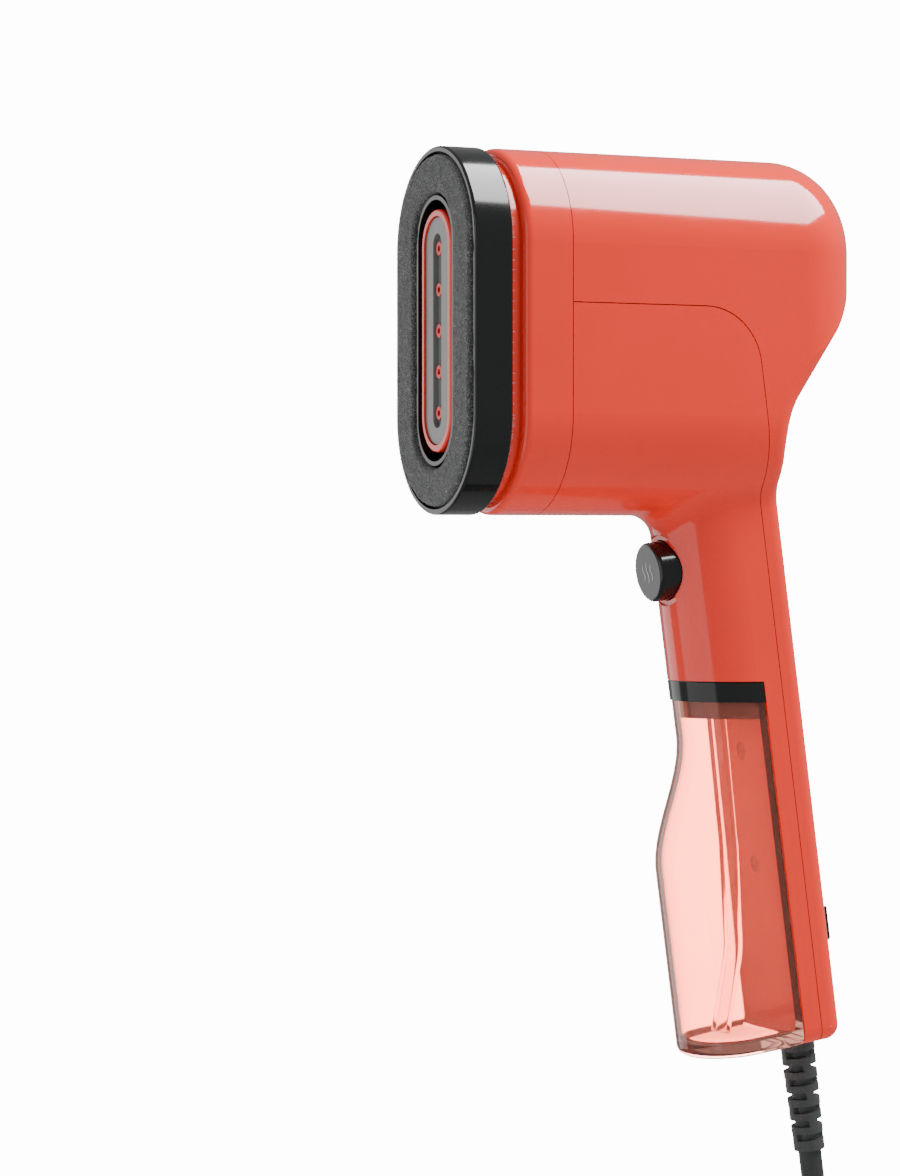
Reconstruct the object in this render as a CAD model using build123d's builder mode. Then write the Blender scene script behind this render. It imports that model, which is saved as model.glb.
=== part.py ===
from build123d import *
import os
from math import cos, radians, sin, tan

# Handheld garment steamer, in millimetres. +Z is up, the steam face looks along -Y, and the mirror
# plane is X = 0. The origin is the middle of the grip, where the hand closes round the handle.

# Driving dimensions: head
HEAD_WIDTH = 57.0            # the head's section is a stadium, standing upright
HEAD_HEIGHT = 105.0
HEAD_MID_Z = 89.0            # head axis above the grip's middle
HEAD_FRONT = -76.5           # front lip of the coloured head
HEAD_BACK = 36.0             # rear of the head
HEAD_BACK_ROUND = 22.0
BEZEL_DEPTH = 14.8           # depth of the front bezel
LIP_ROUND = 2.4

# Driving dimensions: handle
HANDLE_WIDTH = 36.0
HANDLE_DEPTH = 33.0
HANDLE_LEAN = 7.7            # degrees; the foot of the handle lies further back
HANDLE_FOOT = -121.0         # foot of the handle, measured along the leaning axis
NECK_Z = 64.1                # corner where the back rises from the handle to the head
NECK_ROUND = 24.0
SHOULDER_Z = 106.4           # corner where that slope meets the back of the head
SHOULDER_ROUND = 25.0
BLEND_ROUND = 9.0            # head into handle, front and sides
EDGE_ROUND = 4.5             # long edges of the back
FOOT_ROUND = 4.5             # corner between the back and the foot of the handle
WALL = 2.4
SEAM_GAP = 0.24              # shadow gap between two covers
COVER_DEPTH = 7.3            # how far the rear cover reaches round the handle from its back
COVER_TOP_Z = 96.3           # level seam on the side of the head
COVER_ROUND = 18.0

# Driving dimensions: tank
SPINE_DEPTH = 13.0           # the part of the handle that stands behind the tank
SPINE_WALL = 2.0
TANK_TOP_Z = -11.9           # level seat of the tank under the grip
COLLAR_HEIGHT = 5.7
TANK_GAP = 0.3               # clearance between tank and handle
TANK_BULGE = 12.0            # how far the lower tank stands out in front of the handle
TANK_WALL = 2.0
TANK_FLOOR = 3.6
TANK_ROUND = 3.0             # round of the tank's foot
WAIST = 0.5                  # the tank's neck is this much slimmer than the handle
BULGE_START = -27.0          # along the handle axis
BULGE_END = -66.0
NECK_BORE = 5.4              # seat for the tank's neck
SOCKET_WALL = 1.6
SOCKET_Y = -4.0              # axis of the neck, forward of the handle axis
NECK_CLEARANCE = 0.35

# Driving dimensions: steam outlet and pad
PAD_LENGTH = 105.0
PAD_WIDTH = 57.0
PAD_FRONT = -91.8
PAD_DEPTH = 11.6
PAD_WALL = 1.6
PAD_HOLE_LENGTH = 74.5
PAD_HOLE_WIDTH = 24.0
FELT_PROUD = 1.0
SNOUT_LENGTH = 69.3
SNOUT_WIDTH = 21.0
SNOUT_FRONT = -91.5
SNOUT_WALL = 2.0
NOZZLES = 5
NOZZLE_PITCH = 11.7
NOZZLE_RADIUS = 1.9
NOZZLE_HOLE = 0.9
GROOVE_LENGTH = 55.4
GROOVE_WIDTH = 5.8
FIT = 0.3                    # running clearance between pieces of different bodies
SEAT = 0.05                  # clearance of a piece that sits still in its seat

# Driving dimensions: steam chamber, pump, buttons
CHAMBER_LENGTH = 88.0
CHAMBER_WIDTH = 42.0
CHAMBER_FRONT = -73.8
CHAMBER_DEPTH = 21.0
CHAMBER_POCKET = 10.0
HEATER_RADIUS = 3.3
HEATER_SPREAD = 13.0
PUMP_Y = -8.0
PUMP_X = 2.0
PUMP_LOW_Z = 64.0
PUMP_LENGTH = 46.0
PISTON_RADIUS = 3.2
PISTON_TRAVEL = 3.0
HOSE_RADIUS = 3.0
BUTTON_AXIS_Z = 22.8         # button centre, along the handle axis
BUTTON_RADIUS = 8.75
BUTTON_PROUD = 4.4
BUTTON_TRAVEL = 3.0
BUTTON_RECESS = 10.6
POWER_AXIS_Z = -88.3
POWER_WIDTH = 16.0
POWER_HEIGHT = 10.0
POWER_PROUD = 4.5

# Driving dimensions: mains lead
CORD_RADIUS = 3.5
RELIEF_RADIUS = 5.25
RELIEF_TIP_RADIUS = 4.6
RELIEF_LENGTH = 35.0
RELIEF_Y = 10.0              # lead axis inside the spine, measured from the handle axis
HANK_LENGTH = 123.0
HANK_WIDTH = 63.0
HANK_DEPTH = 21.0
HANK_TOP_Z = -205.0
HANK_Y = 34.0
TIE_HEIGHT = 14.0
TIE_THICK = 1.6
PIN_RADIUS = 2.4
PIN_SPACING = 19.0
PIN_LENGTH = 19.0
PLUG_WIDTH = 35.0
PLUG_THICK = 17.0
PLUG_LENGTH = 34.0

# Values that follow from the driving dimensions
LEAN_SIN = sin(radians(HANDLE_LEAN))
LEAN_COS = cos(radians(HANDLE_LEAN))
HANDLE_BACK = HANDLE_DEPTH / 2
NOSE_Y = HANDLE_WIDTH / 2 - HANDLE_DEPTH / 2
BEZEL_SEAM = HEAD_FRONT + BEZEL_DEPTH
HEAD_TOP_Z = HEAD_MID_Z + HEAD_HEIGHT / 2
SPINE_Y = HANDLE_BACK - SPINE_DEPTH
COVER_Y = HANDLE_BACK - COVER_DEPTH
PAD_BACK = PAD_FRONT + PAD_DEPTH
CHAMBER_BACK = CHAMBER_FRONT + CHAMBER_DEPTH
FAR = 200.0

os.makedirs("parts", exist_ok=True)


# Planes and small shapes -----------------------------------------------------------------------

def head_plane(y):
    """Upright plane on the head axis, facing back; sketch x is up, sketch y is X."""
    return Plane((0, y, HEAD_MID_Z), x_dir=(0, 0, 1), z_dir=(0, 1, 0))


def handle_point(x, y, z):
    """Point of the leaning handle: y towards its back, z up its axis."""
    return (x, y * LEAN_COS - z * LEAN_SIN, y * LEAN_SIN + z * LEAN_COS)


def handle_plane(z, y=0.0, x=0.0):
    """Plane across the handle, facing up its axis; sketch y points to the back."""
    return Plane(handle_point(x, y, z), x_dir=(1, 0, 0), z_dir=(0, -LEAN_SIN, LEAN_COS))


def front_plane(y, z, x=0.0):
    """Plane along the handle, facing forward out of its front; sketch y points up the axis."""
    return Plane(handle_point(x, y, z), x_dir=(1, 0, 0), z_dir=(0, -LEAN_COS, -LEAN_SIN))


def level_plane(x, y, z):
    return Plane((x, y, z), x_dir=(1, 0, 0), z_dir=(0, 0, 1))


def rod(plane, radius, length, mode=Mode.ADD):
    """Round bar standing on a plane."""
    with BuildSketch(plane) as end:
        Circle(radius)
    extrude(end.sketch, amount=length, mode=mode)


def bar(plane, width, height, length, mode=Mode.ADD):
    """Square bar standing on a plane."""
    with BuildSketch(plane) as end:
        Rectangle(width, height)
    extrude(end.sketch, amount=length, mode=mode)


def stadium(plane, length, width, depth, mode=Mode.ADD):
    """Bar of stadium section standing on a plane."""
    with BuildSketch(plane) as end:
        SlotOverall(length, width)
    extrude(end.sketch, amount=depth, mode=mode)


# Outer form of the housing ---------------------------------------------------------------------

def back_line(z, inset):
    """World Y of the handle's back at the world height z."""
    return (HANDLE_BACK - inset) / LEAN_COS - z * tan(radians(HANDLE_LEAN))


def nose_outline(inset, back):
    """Section of the handle: half round at the front, straight sides running to the back."""
    radius = HANDLE_WIDTH / 2 - inset
    with BuildSketch(Plane.XY) as section:
        with BuildLine():
            ThreePointArc((-radius, NOSE_Y), (0, NOSE_Y - radius), (radius, NOSE_Y))
            Polyline((radius, NOSE_Y), (radius, back), (-radius, back), (-radius, NOSE_Y))
        make_face()
    return section.sketch


def body_form(inset):
    """Head and handle as one solid, smaller by inset all round; the shells are cut from it."""
    low_z = HANDLE_FOOT * LEAN_COS - 2 * WALL
    high_z = HEAD_TOP_Z + WALL
    head_low = HEAD_MID_Z - HEAD_HEIGHT / 2 + inset
    with BuildPart() as form:
        stadium(head_plane(HEAD_FRONT), HEAD_HEIGHT - 2 * inset, HEAD_WIDTH - 2 * inset, FAR)
        extrude(
            handle_plane(HANDLE_FOOT + inset) * nose_outline(inset, FAR),
            amount=HEAD_MID_Z - HANDLE_FOOT - 2 * WALL - inset,
        )
        crease = (
            form.edges()
            .filter_by(lambda e: head_low - 0.01 < (e @ 0.5).Z < head_low + BLEND_ROUND)
            .filter_by(lambda e: HEAD_FRONT + 1 < (e @ 0.5).Y < HEAD_FRONT + FAR - 1)
        )
        fillet(crease, BLEND_ROUND + inset)
        with BuildSketch(Plane.YZ) as behind:
            with BuildLine():
                corner = handle_point(0, HANDLE_BACK - inset, HANDLE_FOOT + inset)
                under = handle_point(0, 0, HANDLE_FOOT + inset)
                back = FilletPolyline(
                    (HEAD_BACK - inset, high_z),
                    (HEAD_BACK - inset, SHOULDER_Z),
                    (back_line(NECK_Z, inset), NECK_Z),
                    corner[1:],
                    under[1:],
                    radius=[SHOULDER_ROUND - inset, NECK_ROUND + inset, max(FOOT_ROUND - 1.5 * inset, 1.0)],
                )
                Polyline(back @ 1, (under[1], low_z), (FAR, low_z), (FAR, high_z), back @ 0)
            make_face()
        extrude(behind.sketch, amount=HEAD_WIDTH, both=True, mode=Mode.SUBTRACT)
        across = form.faces().filter_by(
            lambda f: abs(f.normal_at(f.center()).X) < 0.02 and f.normal_at(f.center()).Y > 0.3
            and f.bounding_box().size.X > HANDLE_WIDTH / 2
        )
        seen = {}
        for face in across:
            for edge in face.edges():
                seen.setdefault(tuple(round(v, 2) for v in edge @ 0.5), []).append(edge)
        rim = [e[0] for e in seen.values() if len(e) == 1 and e[0].bounding_box().size.Z > 1]
        fillet(rim, EDGE_ROUND - 0.8 * inset)
    with BuildPart() as rounding:
        stadium(head_plane(HEAD_FRONT), HEAD_HEIGHT, HEAD_WIDTH, HEAD_BACK - inset - HEAD_FRONT)
        fillet(rounding.edges().group_by(Axis.Y)[-1], HEAD_BACK_ROUND - inset)
        bar(level_plane(0, 0, -FAR), FAR, FAR, FAR + NECK_Z + BLEND_ROUND)
    return form.part & rounding.part


def tank_notch(margin):
    """The space in front of the spine that the tank fills, grown by margin into the housing."""
    with BuildPart() as notch:
        with BuildSketch(Plane.YZ) as side:
            with BuildLine():
                top = TANK_TOP_Z + margin
                rear_y = SPINE_Y + (SPINE_WALL if margin else 0)
                corner = (rear_y - top * LEAN_SIN) / LEAN_COS
                foot = -FAR
                Polyline((-FAR, top), (corner, top), ((rear_y - foot * LEAN_SIN) / LEAN_COS, foot),
                         (-FAR, foot), (-FAR, top))
            make_face()
        extrude(side.sketch, amount=HEAD_WIDTH, both=True)
    return notch.part


def cover_region(grow):
    """Side-view region of the rear cover, above and behind its seam, extruded across."""
    with BuildPart() as region:
        with BuildSketch(Plane.YZ) as side:
            with BuildLine():
                level = COVER_TOP_Z - grow
                turn_y = (COVER_Y - grow - level * LEAN_SIN) / LEAN_COS
                foot_y = (COVER_Y - grow + FAR * LEAN_SIN) / LEAN_COS
                seam = FilletPolyline((-FAR, level), (turn_y, level), (foot_y, -FAR), radius=COVER_ROUND)
                Polyline(seam @ 1, (FAR, -FAR), (FAR, FAR), (-FAR, FAR), seam @ 0)
            make_face()
        extrude(side.sketch, amount=HEAD_WIDTH, both=True)
    return region.part


def behind_bezel(gap):
    """Everything behind the bezel's seam."""
    with BuildPart() as region:
        bar(Plane((0, BEZEL_SEAM + gap, 0), x_dir=(1, 0, 0), z_dir=(0, 1, 0)), FAR, 3 * FAR, FAR)
    return region.part


OUTER = body_form(0) - tank_notch(0)
CAVITY = body_form(WALL) - tank_notch(WALL)
SHELL = OUTER - CAVITY
REAR_SHELL = SHELL & behind_bezel(SEAM_GAP / 2)
BUTTON_FLOOR = HANDLE_BACK - 0.9        # seat plane of the button recess, forward of the axis
SCREW_Z = (-34.0, -68.0)                # housing screws, along the handle axis


# Housing ---------------------------------------------------------------------------------------

with BuildPart() as button_boss:
    rod(front_plane(-9.0, BUTTON_AXIS_Z), BUTTON_RECESS + 1.6, 16.0)

with BuildPart() as front_housing:
    add(REAR_SHELL - cover_region(SEAM_GAP / 2))
    add(button_boss.part & OUTER)
    rod(front_plane(-BUTTON_FLOOR, BUTTON_AXIS_Z), BUTTON_RECESS, FAR / 4, mode=Mode.SUBTRACT)
    rod(front_plane(0, BUTTON_AXIS_Z), BUTTON_RADIUS + FIT, FAR / 4, mode=Mode.SUBTRACT)
    rod(front_plane(-7.6, BUTTON_AXIS_Z), BUTTON_RADIUS + 1.6, 3.2, mode=Mode.SUBTRACT)
    for z in SCREW_Z:
        rod(front_plane(COVER_Y - SEAM_GAP, z), 3.4, COVER_Y - SEAM_GAP - SPINE_Y)
        rod(front_plane(COVER_Y, z), 1.45, COVER_Y - SPINE_Y, mode=Mode.SUBTRACT)
        rod(front_plane(SPINE_Y + 1.8, z), 2.7, 1.8, mode=Mode.SUBTRACT)
    rod(handle_plane(HANDLE_FOOT - 1, RELIEF_Y), RELIEF_RADIUS + FIT, WALL + 2, mode=Mode.SUBTRACT)
    rod(handle_plane(-16.0, SOCKET_Y), NECK_BORE + SOCKET_WALL, 20.0, mode=Mode.SUBTRACT)
front_housing.part.label = "front_housing"
export_step(front_housing.part, "parts/front_housing.step")

with BuildPart() as rear_cover:
    add(REAR_SHELL & cover_region(-SEAM_GAP / 2))
    for z in SCREW_Z:
        rod(front_plane(HANDLE_BACK - WALL, z), 3.4, COVER_DEPTH - WALL - SEAM_GAP)
        rod(front_plane(HANDLE_BACK - WALL, z), 1.45, COVER_DEPTH, mode=Mode.SUBTRACT)
    bar(front_plane(HANDLE_BACK + 1, POWER_AXIS_Z), POWER_WIDTH + 2 * FIT, POWER_HEIGHT + 2 * FIT,
        WALL + 2, mode=Mode.SUBTRACT)
    rod(handle_plane(HANDLE_FOOT - 1, RELIEF_Y), RELIEF_RADIUS + FIT, WALL + 2, mode=Mode.SUBTRACT)
rear_cover.part.label = "rear_cover"
export_step(rear_cover.part, "parts/rear_cover.step")

NECK_FRONT = PAD_BACK + 1.2             # front face of the bezel's neck, behind the pad
with BuildPart() as front_bezel:
    stadium(head_plane(HEAD_FRONT), HEAD_HEIGHT, HEAD_WIDTH, BEZEL_DEPTH - SEAM_GAP / 2)
    fillet(front_bezel.edges().group_by(Axis.Y)[0], LIP_ROUND)
    stadium(head_plane(NECK_FRONT), HEAD_HEIGHT - 6.4, HEAD_WIDTH - 6.4, HEAD_FRONT - NECK_FRONT + 1)
    stadium(head_plane(HEAD_FRONT + WALL), HEAD_HEIGHT - 2 * WALL, HEAD_WIDTH - 2 * WALL, BEZEL_DEPTH,
            mode=Mode.SUBTRACT)
    stadium(head_plane(NECK_FRONT - 1), SNOUT_LENGTH + 2 * FIT, SNOUT_WIDTH + 2 * FIT, BEZEL_DEPTH,
            mode=Mode.SUBTRACT)
front_bezel.part.label = "front_bezel"
export_step(front_bezel.part, "parts/front_bezel.step")

with BuildPart() as housing_screws:
    for z in SCREW_Z:
        rod(front_plane(SPINE_Y + 1.8 - SEAT, z), 2.5, 1.5)
        rod(front_plane(HANDLE_BACK - WALL - SEAT, z), 1.4, SPINE_DEPTH - WALL - 1.8)
housing_screws.part.label = "housing_screws"
export_step(housing_screws.part, "parts/housing_screws.step")


# Steam outlet ----------------------------------------------------------------------------------

with BuildPart() as nozzle_ring:
    stadium(head_plane(SNOUT_FRONT), SNOUT_LENGTH, SNOUT_WIDTH, CHAMBER_FRONT - FIT - SNOUT_FRONT)
    fillet(nozzle_ring.edges().group_by(Axis.Y)[0], 0.8)
    stadium(head_plane(HEAD_FRONT + WALL + SEAT), SNOUT_LENGTH + 6, SNOUT_WIDTH + 6,
            CHAMBER_FRONT - HEAD_FRONT - WALL - 2 * SEAT)
    stadium(head_plane(SNOUT_FRONT), SNOUT_LENGTH - 2 * SNOUT_WALL, SNOUT_WIDTH - 2 * SNOUT_WALL,
            FAR, mode=Mode.SUBTRACT)
nozzle_ring.part.label = "nozzle_ring"
export_step(nozzle_ring.part, "parts/nozzle_ring.step")

PLATE_FRONT = SNOUT_FRONT + 0.5
PLATE_THICK = 3.0
PLATE_LENGTH = SNOUT_LENGTH - 2 * SNOUT_WALL - 2 * SEAT
PLATE_WIDTH = SNOUT_WIDTH - 2 * SNOUT_WALL - 2 * SEAT
GROOVE_DEPTH = 1.6
with BuildPart() as steam_plate:
    stadium(head_plane(PLATE_FRONT), PLATE_LENGTH, PLATE_WIDTH, PLATE_THICK)
    fillet(steam_plate.edges().group_by(Axis.Y)[0], 0.5)
    stadium(head_plane(PLATE_FRONT), GROOVE_LENGTH, GROOVE_WIDTH, GROOVE_DEPTH, mode=Mode.SUBTRACT)
    with BuildSketch(head_plane(PLATE_FRONT)) as nozzle_holes:
        with GridLocations(NOZZLE_PITCH, 1, NOZZLES, 1):
            Circle(NOZZLE_RADIUS + SEAT)
    extrude(nozzle_holes.sketch, amount=PLATE_THICK, mode=Mode.SUBTRACT)
steam_plate.part.label = "steam_plate"
export_step(steam_plate.part, "parts/steam_plate.step")

MANIFOLD_FRONT = PLATE_FRONT + PLATE_THICK
MANIFOLD_DEPTH = 8.0
NOZZLE_SEAT = 2.0
with BuildPart() as nozzle_manifold:
    stadium(head_plane(MANIFOLD_FRONT), PLATE_LENGTH, PLATE_WIDTH, MANIFOLD_DEPTH)
    stadium(head_plane(MANIFOLD_FRONT + 4), GROOVE_LENGTH, GROOVE_WIDTH, MANIFOLD_DEPTH,
            mode=Mode.SUBTRACT)
    for radius, depth in ((NOZZLE_RADIUS + SEAT, NOZZLE_SEAT), (NOZZLE_HOLE, MANIFOLD_DEPTH)):
        with BuildSketch(head_plane(MANIFOLD_FRONT)) as seats:
            with GridLocations(NOZZLE_PITCH, 1, NOZZLES, 1):
                Circle(radius)
        extrude(seats.sketch, amount=depth, mode=Mode.SUBTRACT)
nozzle_manifold.part.label = "nozzle_manifold"
export_step(nozzle_manifold.part, "parts/nozzle_manifold.step")

with BuildPart() as steam_nozzles:
    with BuildSketch(head_plane(PLATE_FRONT + 0.5)) as tips:
        with GridLocations(NOZZLE_PITCH, 1, NOZZLES, 1):
            Circle(NOZZLE_RADIUS)
            Circle(NOZZLE_HOLE, mode=Mode.SUBTRACT)
    extrude(tips.sketch, amount=PLATE_THICK - 0.5 + NOZZLE_SEAT)
steam_nozzles.part.label = "steam_nozzles"
export_step(steam_nozzles.part, "parts/steam_nozzles.step")

GASKET_THICK = 1.5
with BuildPart() as manifold_gasket:
    stadium(head_plane(MANIFOLD_FRONT + MANIFOLD_DEPTH), PLATE_LENGTH, PLATE_WIDTH, GASKET_THICK)
    stadium(head_plane(MANIFOLD_FRONT + MANIFOLD_DEPTH), GROOVE_LENGTH, GROOVE_WIDTH, GASKET_THICK,
            mode=Mode.SUBTRACT)
manifold_gasket.part.label = "manifold_gasket"
export_step(manifold_gasket.part, "parts/manifold_gasket.step")


# Steam chamber with its cast-in heater -----------------------------------------------------------

THROAT_FRONT = MANIFOLD_FRONT + MANIFOLD_DEPTH + GASKET_THICK
HEATER_Y = CHAMBER_FRONT + (CHAMBER_DEPTH - CHAMBER_POCKET) / 2
HEATER_ARC_Z = HEAD_MID_Z + 21.0
HEATER_END_Z = HEAD_MID_Z - HEAD_HEIGHT / 2 + 9.5
CHAMBER_SCREWS = (62.0, 30.0)           # spacing of the cover screws, along Z and X
COVER_THICK = 3.0
CHAMBER_SEAL = 0.8


def heater_tube(radius):
    """U-shaped heater: two upright legs joined by a half turn at the top."""
    with BuildPart() as tube:
        with BuildLine() as path:
            left = Line((-HEATER_SPREAD, HEATER_Y, HEATER_END_Z), (-HEATER_SPREAD, HEATER_Y, HEATER_ARC_Z))
            turn = ThreePointArc(left @ 1, (0, HEATER_Y, HEATER_ARC_Z + HEATER_SPREAD),
                                 (HEATER_SPREAD, HEATER_Y, HEATER_ARC_Z))
            Line(turn @ 1, (HEATER_SPREAD, HEATER_Y, HEATER_END_Z))
        with BuildSketch(level_plane(-HEATER_SPREAD, HEATER_Y, HEATER_END_Z)) as section:
            Circle(radius)
        sweep(section.sketch, path=path.wires()[0])
    return tube.part


def screw_points(plane):
    return [plane * loc for loc in GridLocations(CHAMBER_SCREWS[0], CHAMBER_SCREWS[1], 2, 2)]


with BuildPart() as steam_chamber:
    stadium(head_plane(CHAMBER_FRONT), CHAMBER_LENGTH, CHAMBER_WIDTH, CHAMBER_DEPTH)
    stadium(head_plane(THROAT_FRONT), PLATE_LENGTH, PLATE_WIDTH, CHAMBER_FRONT - THROAT_FRONT)
    stadium(head_plane(THROAT_FRONT), GROOVE_LENGTH - 4, GROOVE_WIDTH, FAR, mode=Mode.SUBTRACT)
    stadium(head_plane(CHAMBER_BACK - CHAMBER_POCKET), CHAMBER_LENGTH - 18, CHAMBER_WIDTH - 18,
            CHAMBER_POCKET, mode=Mode.SUBTRACT)
    add(heater_tube(HEATER_RADIUS + SEAT), mode=Mode.SUBTRACT)
    with BuildSketch(head_plane(CHAMBER_BACK - 8)) as taps:
        with GridLocations(CHAMBER_SCREWS[0], CHAMBER_SCREWS[1], 2, 2):
            Circle(1.55)
    extrude(taps.sketch, amount=8, mode=Mode.SUBTRACT)
steam_chamber.part.label = "steam_chamber"
export_step(steam_chamber.part, "parts/steam_chamber.step")

heating_element = heater_tube(HEATER_RADIUS)
heating_element.label = "heating_element"
export_step(heating_element, "parts/heating_element.step")

with BuildPart() as chamber_gasket:
    with BuildSketch(head_plane(CHAMBER_BACK)) as gasket:
        SlotOverall(CHAMBER_LENGTH, CHAMBER_WIDTH)
        SlotOverall(CHAMBER_LENGTH - 18, CHAMBER_WIDTH - 18, mode=Mode.SUBTRACT)
        with GridLocations(CHAMBER_SCREWS[0], CHAMBER_SCREWS[1], 2, 2):
            Circle(1.55, mode=Mode.SUBTRACT)
    extrude(gasket.sketch, amount=CHAMBER_SEAL)
chamber_gasket.part.label = "chamber_gasket"
export_step(chamber_gasket.part, "parts/chamber_gasket.step")

LID_FRONT = CHAMBER_BACK + CHAMBER_SEAL
LID_BACK = LID_FRONT + COVER_THICK
INLET_UP = 34.0                         # water inlet above the head axis
with BuildPart() as chamber_cover:
    with BuildSketch(head_plane(LID_FRONT)) as lid:
        SlotOverall(CHAMBER_LENGTH, CHAMBER_WIDTH)
        with GridLocations(CHAMBER_SCREWS[0], CHAMBER_SCREWS[1], 2, 2):
            Circle(1.55, mode=Mode.SUBTRACT)
        with Locations((INLET_UP, 0)):
            Circle(1.5, mode=Mode.SUBTRACT)
    extrude(lid.sketch, amount=COVER_THICK)
chamber_cover.part.label = "chamber_cover"
export_step(chamber_cover.part, "parts/chamber_cover.step")

with BuildPart() as chamber_screws:
    for radius, start, length in ((1.5, LID_BACK - 10, 10), (2.7, LID_BACK, 2.4)):
        with BuildSketch(head_plane(start)) as screws:
            with GridLocations(CHAMBER_SCREWS[0], CHAMBER_SCREWS[1], 2, 2):
                Circle(radius)
        extrude(screws.sketch, amount=length)
chamber_screws.part.label = "chamber_screws"
export_step(chamber_screws.part, "parts/chamber_screws.step")

with BuildPart() as thermostat:
    rod(head_plane(LID_BACK), 8.0, 5.0)
    rod(head_plane(LID_BACK + 5), 6.4, 3.5)
    with BuildSketch(head_plane(LID_BACK + 8.5)) as blades:
        with GridLocations(1, 7.0, 1, 2):
            Rectangle(4.8, 0.8)
    extrude(blades.sketch, amount=5.0)
thermostat.part.label = "thermostat"
export_step(thermostat.part, "parts/thermostat.step")

with BuildPart() as thermal_fuse:
    rod(Plane((-8, LID_BACK + 2.2, HEAD_MID_Z - 18), x_dir=(0, 1, 0), z_dir=(1, 0, 0)), 2.0, 16.0)
    with BuildSketch(head_plane(LID_BACK)) as strap:
        with Locations((-18, 0)):
            Rectangle(7.0, 8.0)
    extrude(strap.sketch, amount=0.8)
    with BuildSketch(head_plane(LID_BACK)) as saddle:
        with Locations((-18, 0)):
            Rectangle(5.6, 5.0)
    extrude(saddle.sketch, amount=4.8)
thermal_fuse.part.label = "thermal_fuse"
export_step(thermal_fuse.part, "parts/thermal_fuse.step")

INLET_PLANE = Plane((0, LID_BACK, HEAD_MID_Z + INLET_UP), x_dir=(1, 0, 0), z_dir=(0, 1, 0))
INLET_LENGTH = 9.0
with BuildPart() as water_inlet:
    rod(INLET_PLANE, 4.6, 3.0)
    rod(INLET_PLANE, 1.9, INLET_LENGTH)
    rod(INLET_PLANE, 0.9, INLET_LENGTH, mode=Mode.SUBTRACT)
water_inlet.part.label = "water_inlet"
export_step(water_inlet.part, "parts/water_inlet.step")


# Inner frame, pump and hoses ---------------------------------------------------------------------

FRAME_X = -14.5                         # left face of the frame plate
FRAME_THICK = 2.0
FRAME_LOW_Z = 58.0
FRAME_HIGH_Z = 122.0
FRAME_FRONT = -36.0
FRAME_BACK = 6.0
POST_SIZE = 5.0
YOKE_SIZE = 26.0
MOUNT_HEIGHT = 5.0
TUBE_RADIUS = 6.0
MOUNT_Z = (PUMP_LOW_Z + 1.0, PUMP_LOW_Z + PUMP_LENGTH - 1.0 - MOUNT_HEIGHT)
MOUNT_RADIUS = TUBE_RADIUS + 2.5
with BuildPart() as inner_frame:
    mid_y = (FRAME_FRONT + FRAME_BACK) / 2
    side_face = Plane((FRAME_X, mid_y, 0), x_dir=(0, 1, 0), z_dir=(1, 0, 0))
    with BuildSketch(side_face) as plate:
        with Locations((0, (FRAME_LOW_Z + FRAME_HIGH_Z) / 2)):
            RectangleRounded(FRAME_BACK - FRAME_FRONT, FRAME_HIGH_Z - FRAME_LOW_Z, 4)
    extrude(plate.sketch, amount=FRAME_THICK)
    for z in MOUNT_Z:
        arm = PUMP_X - FRAME_X
        bar(Plane((FRAME_X, PUMP_Y, z + MOUNT_HEIGHT / 2), x_dir=(0, 1, 0), z_dir=(1, 0, 0)),
            2 * MOUNT_RADIUS + 4, MOUNT_HEIGHT, arm)
        rod(level_plane(PUMP_X, PUMP_Y, z), MOUNT_RADIUS + SEAT, MOUNT_HEIGHT, mode=Mode.SUBTRACT)
    for y in (FRAME_FRONT + POST_SIZE / 2 + 0.5, FRAME_BACK - POST_SIZE / 2 - 1):
        for z in (FRAME_LOW_Z + 10, FRAME_HIGH_Z - 13):
            reach = HEAD_WIDTH / 2 - WALL - FIT + FRAME_X
            bar(Plane((FRAME_X, y, z), x_dir=(0, 1, 0), z_dir=(-1, 0, 0)), POST_SIZE, POST_SIZE, reach)
inner_frame.part.label = "inner_frame"
export_step(inner_frame.part, "parts/inner_frame.step")

BARB_RADIUS = 2.2
BARB_LENGTH = 8.0
PISTON_LOW_Z = PUMP_LOW_Z + 8.0
PISTON_LENGTH = 18.0
with BuildPart() as pump_tube:
    rod(level_plane(PUMP_X, PUMP_Y, PUMP_LOW_Z), TUBE_RADIUS, PUMP_LENGTH)
    rod(level_plane(PUMP_X, PUMP_Y, PUMP_LOW_Z - BARB_LENGTH), BARB_RADIUS, PUMP_LENGTH + 2 * BARB_LENGTH)
    rod(level_plane(PUMP_X, PUMP_Y, PUMP_LOW_Z - BARB_LENGTH), 1.1, PUMP_LENGTH + 2 * BARB_LENGTH,
        mode=Mode.SUBTRACT)
    rod(level_plane(PUMP_X, PUMP_Y, PISTON_LOW_Z - SEAT), PISTON_RADIUS + SEAT, PUMP_LENGTH - 12,
        mode=Mode.SUBTRACT)
pump_tube.part.label = "pump_tube"
export_step(pump_tube.part, "parts/pump_tube.step")

COIL_Z = MOUNT_Z[0] + MOUNT_HEIGHT + 3.0
COIL_LENGTH = MOUNT_Z[1] - 3.0 - COIL_Z
with BuildPart() as pump_coil:
    rod(level_plane(PUMP_X, PUMP_Y, COIL_Z), 11.0, COIL_LENGTH)
    rod(level_plane(PUMP_X, PUMP_Y, COIL_Z), TUBE_RADIUS + SEAT, COIL_LENGTH, mode=Mode.SUBTRACT)
pump_coil.part.label = "pump_coil"
export_step(pump_coil.part, "parts/pump_coil.step")

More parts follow.
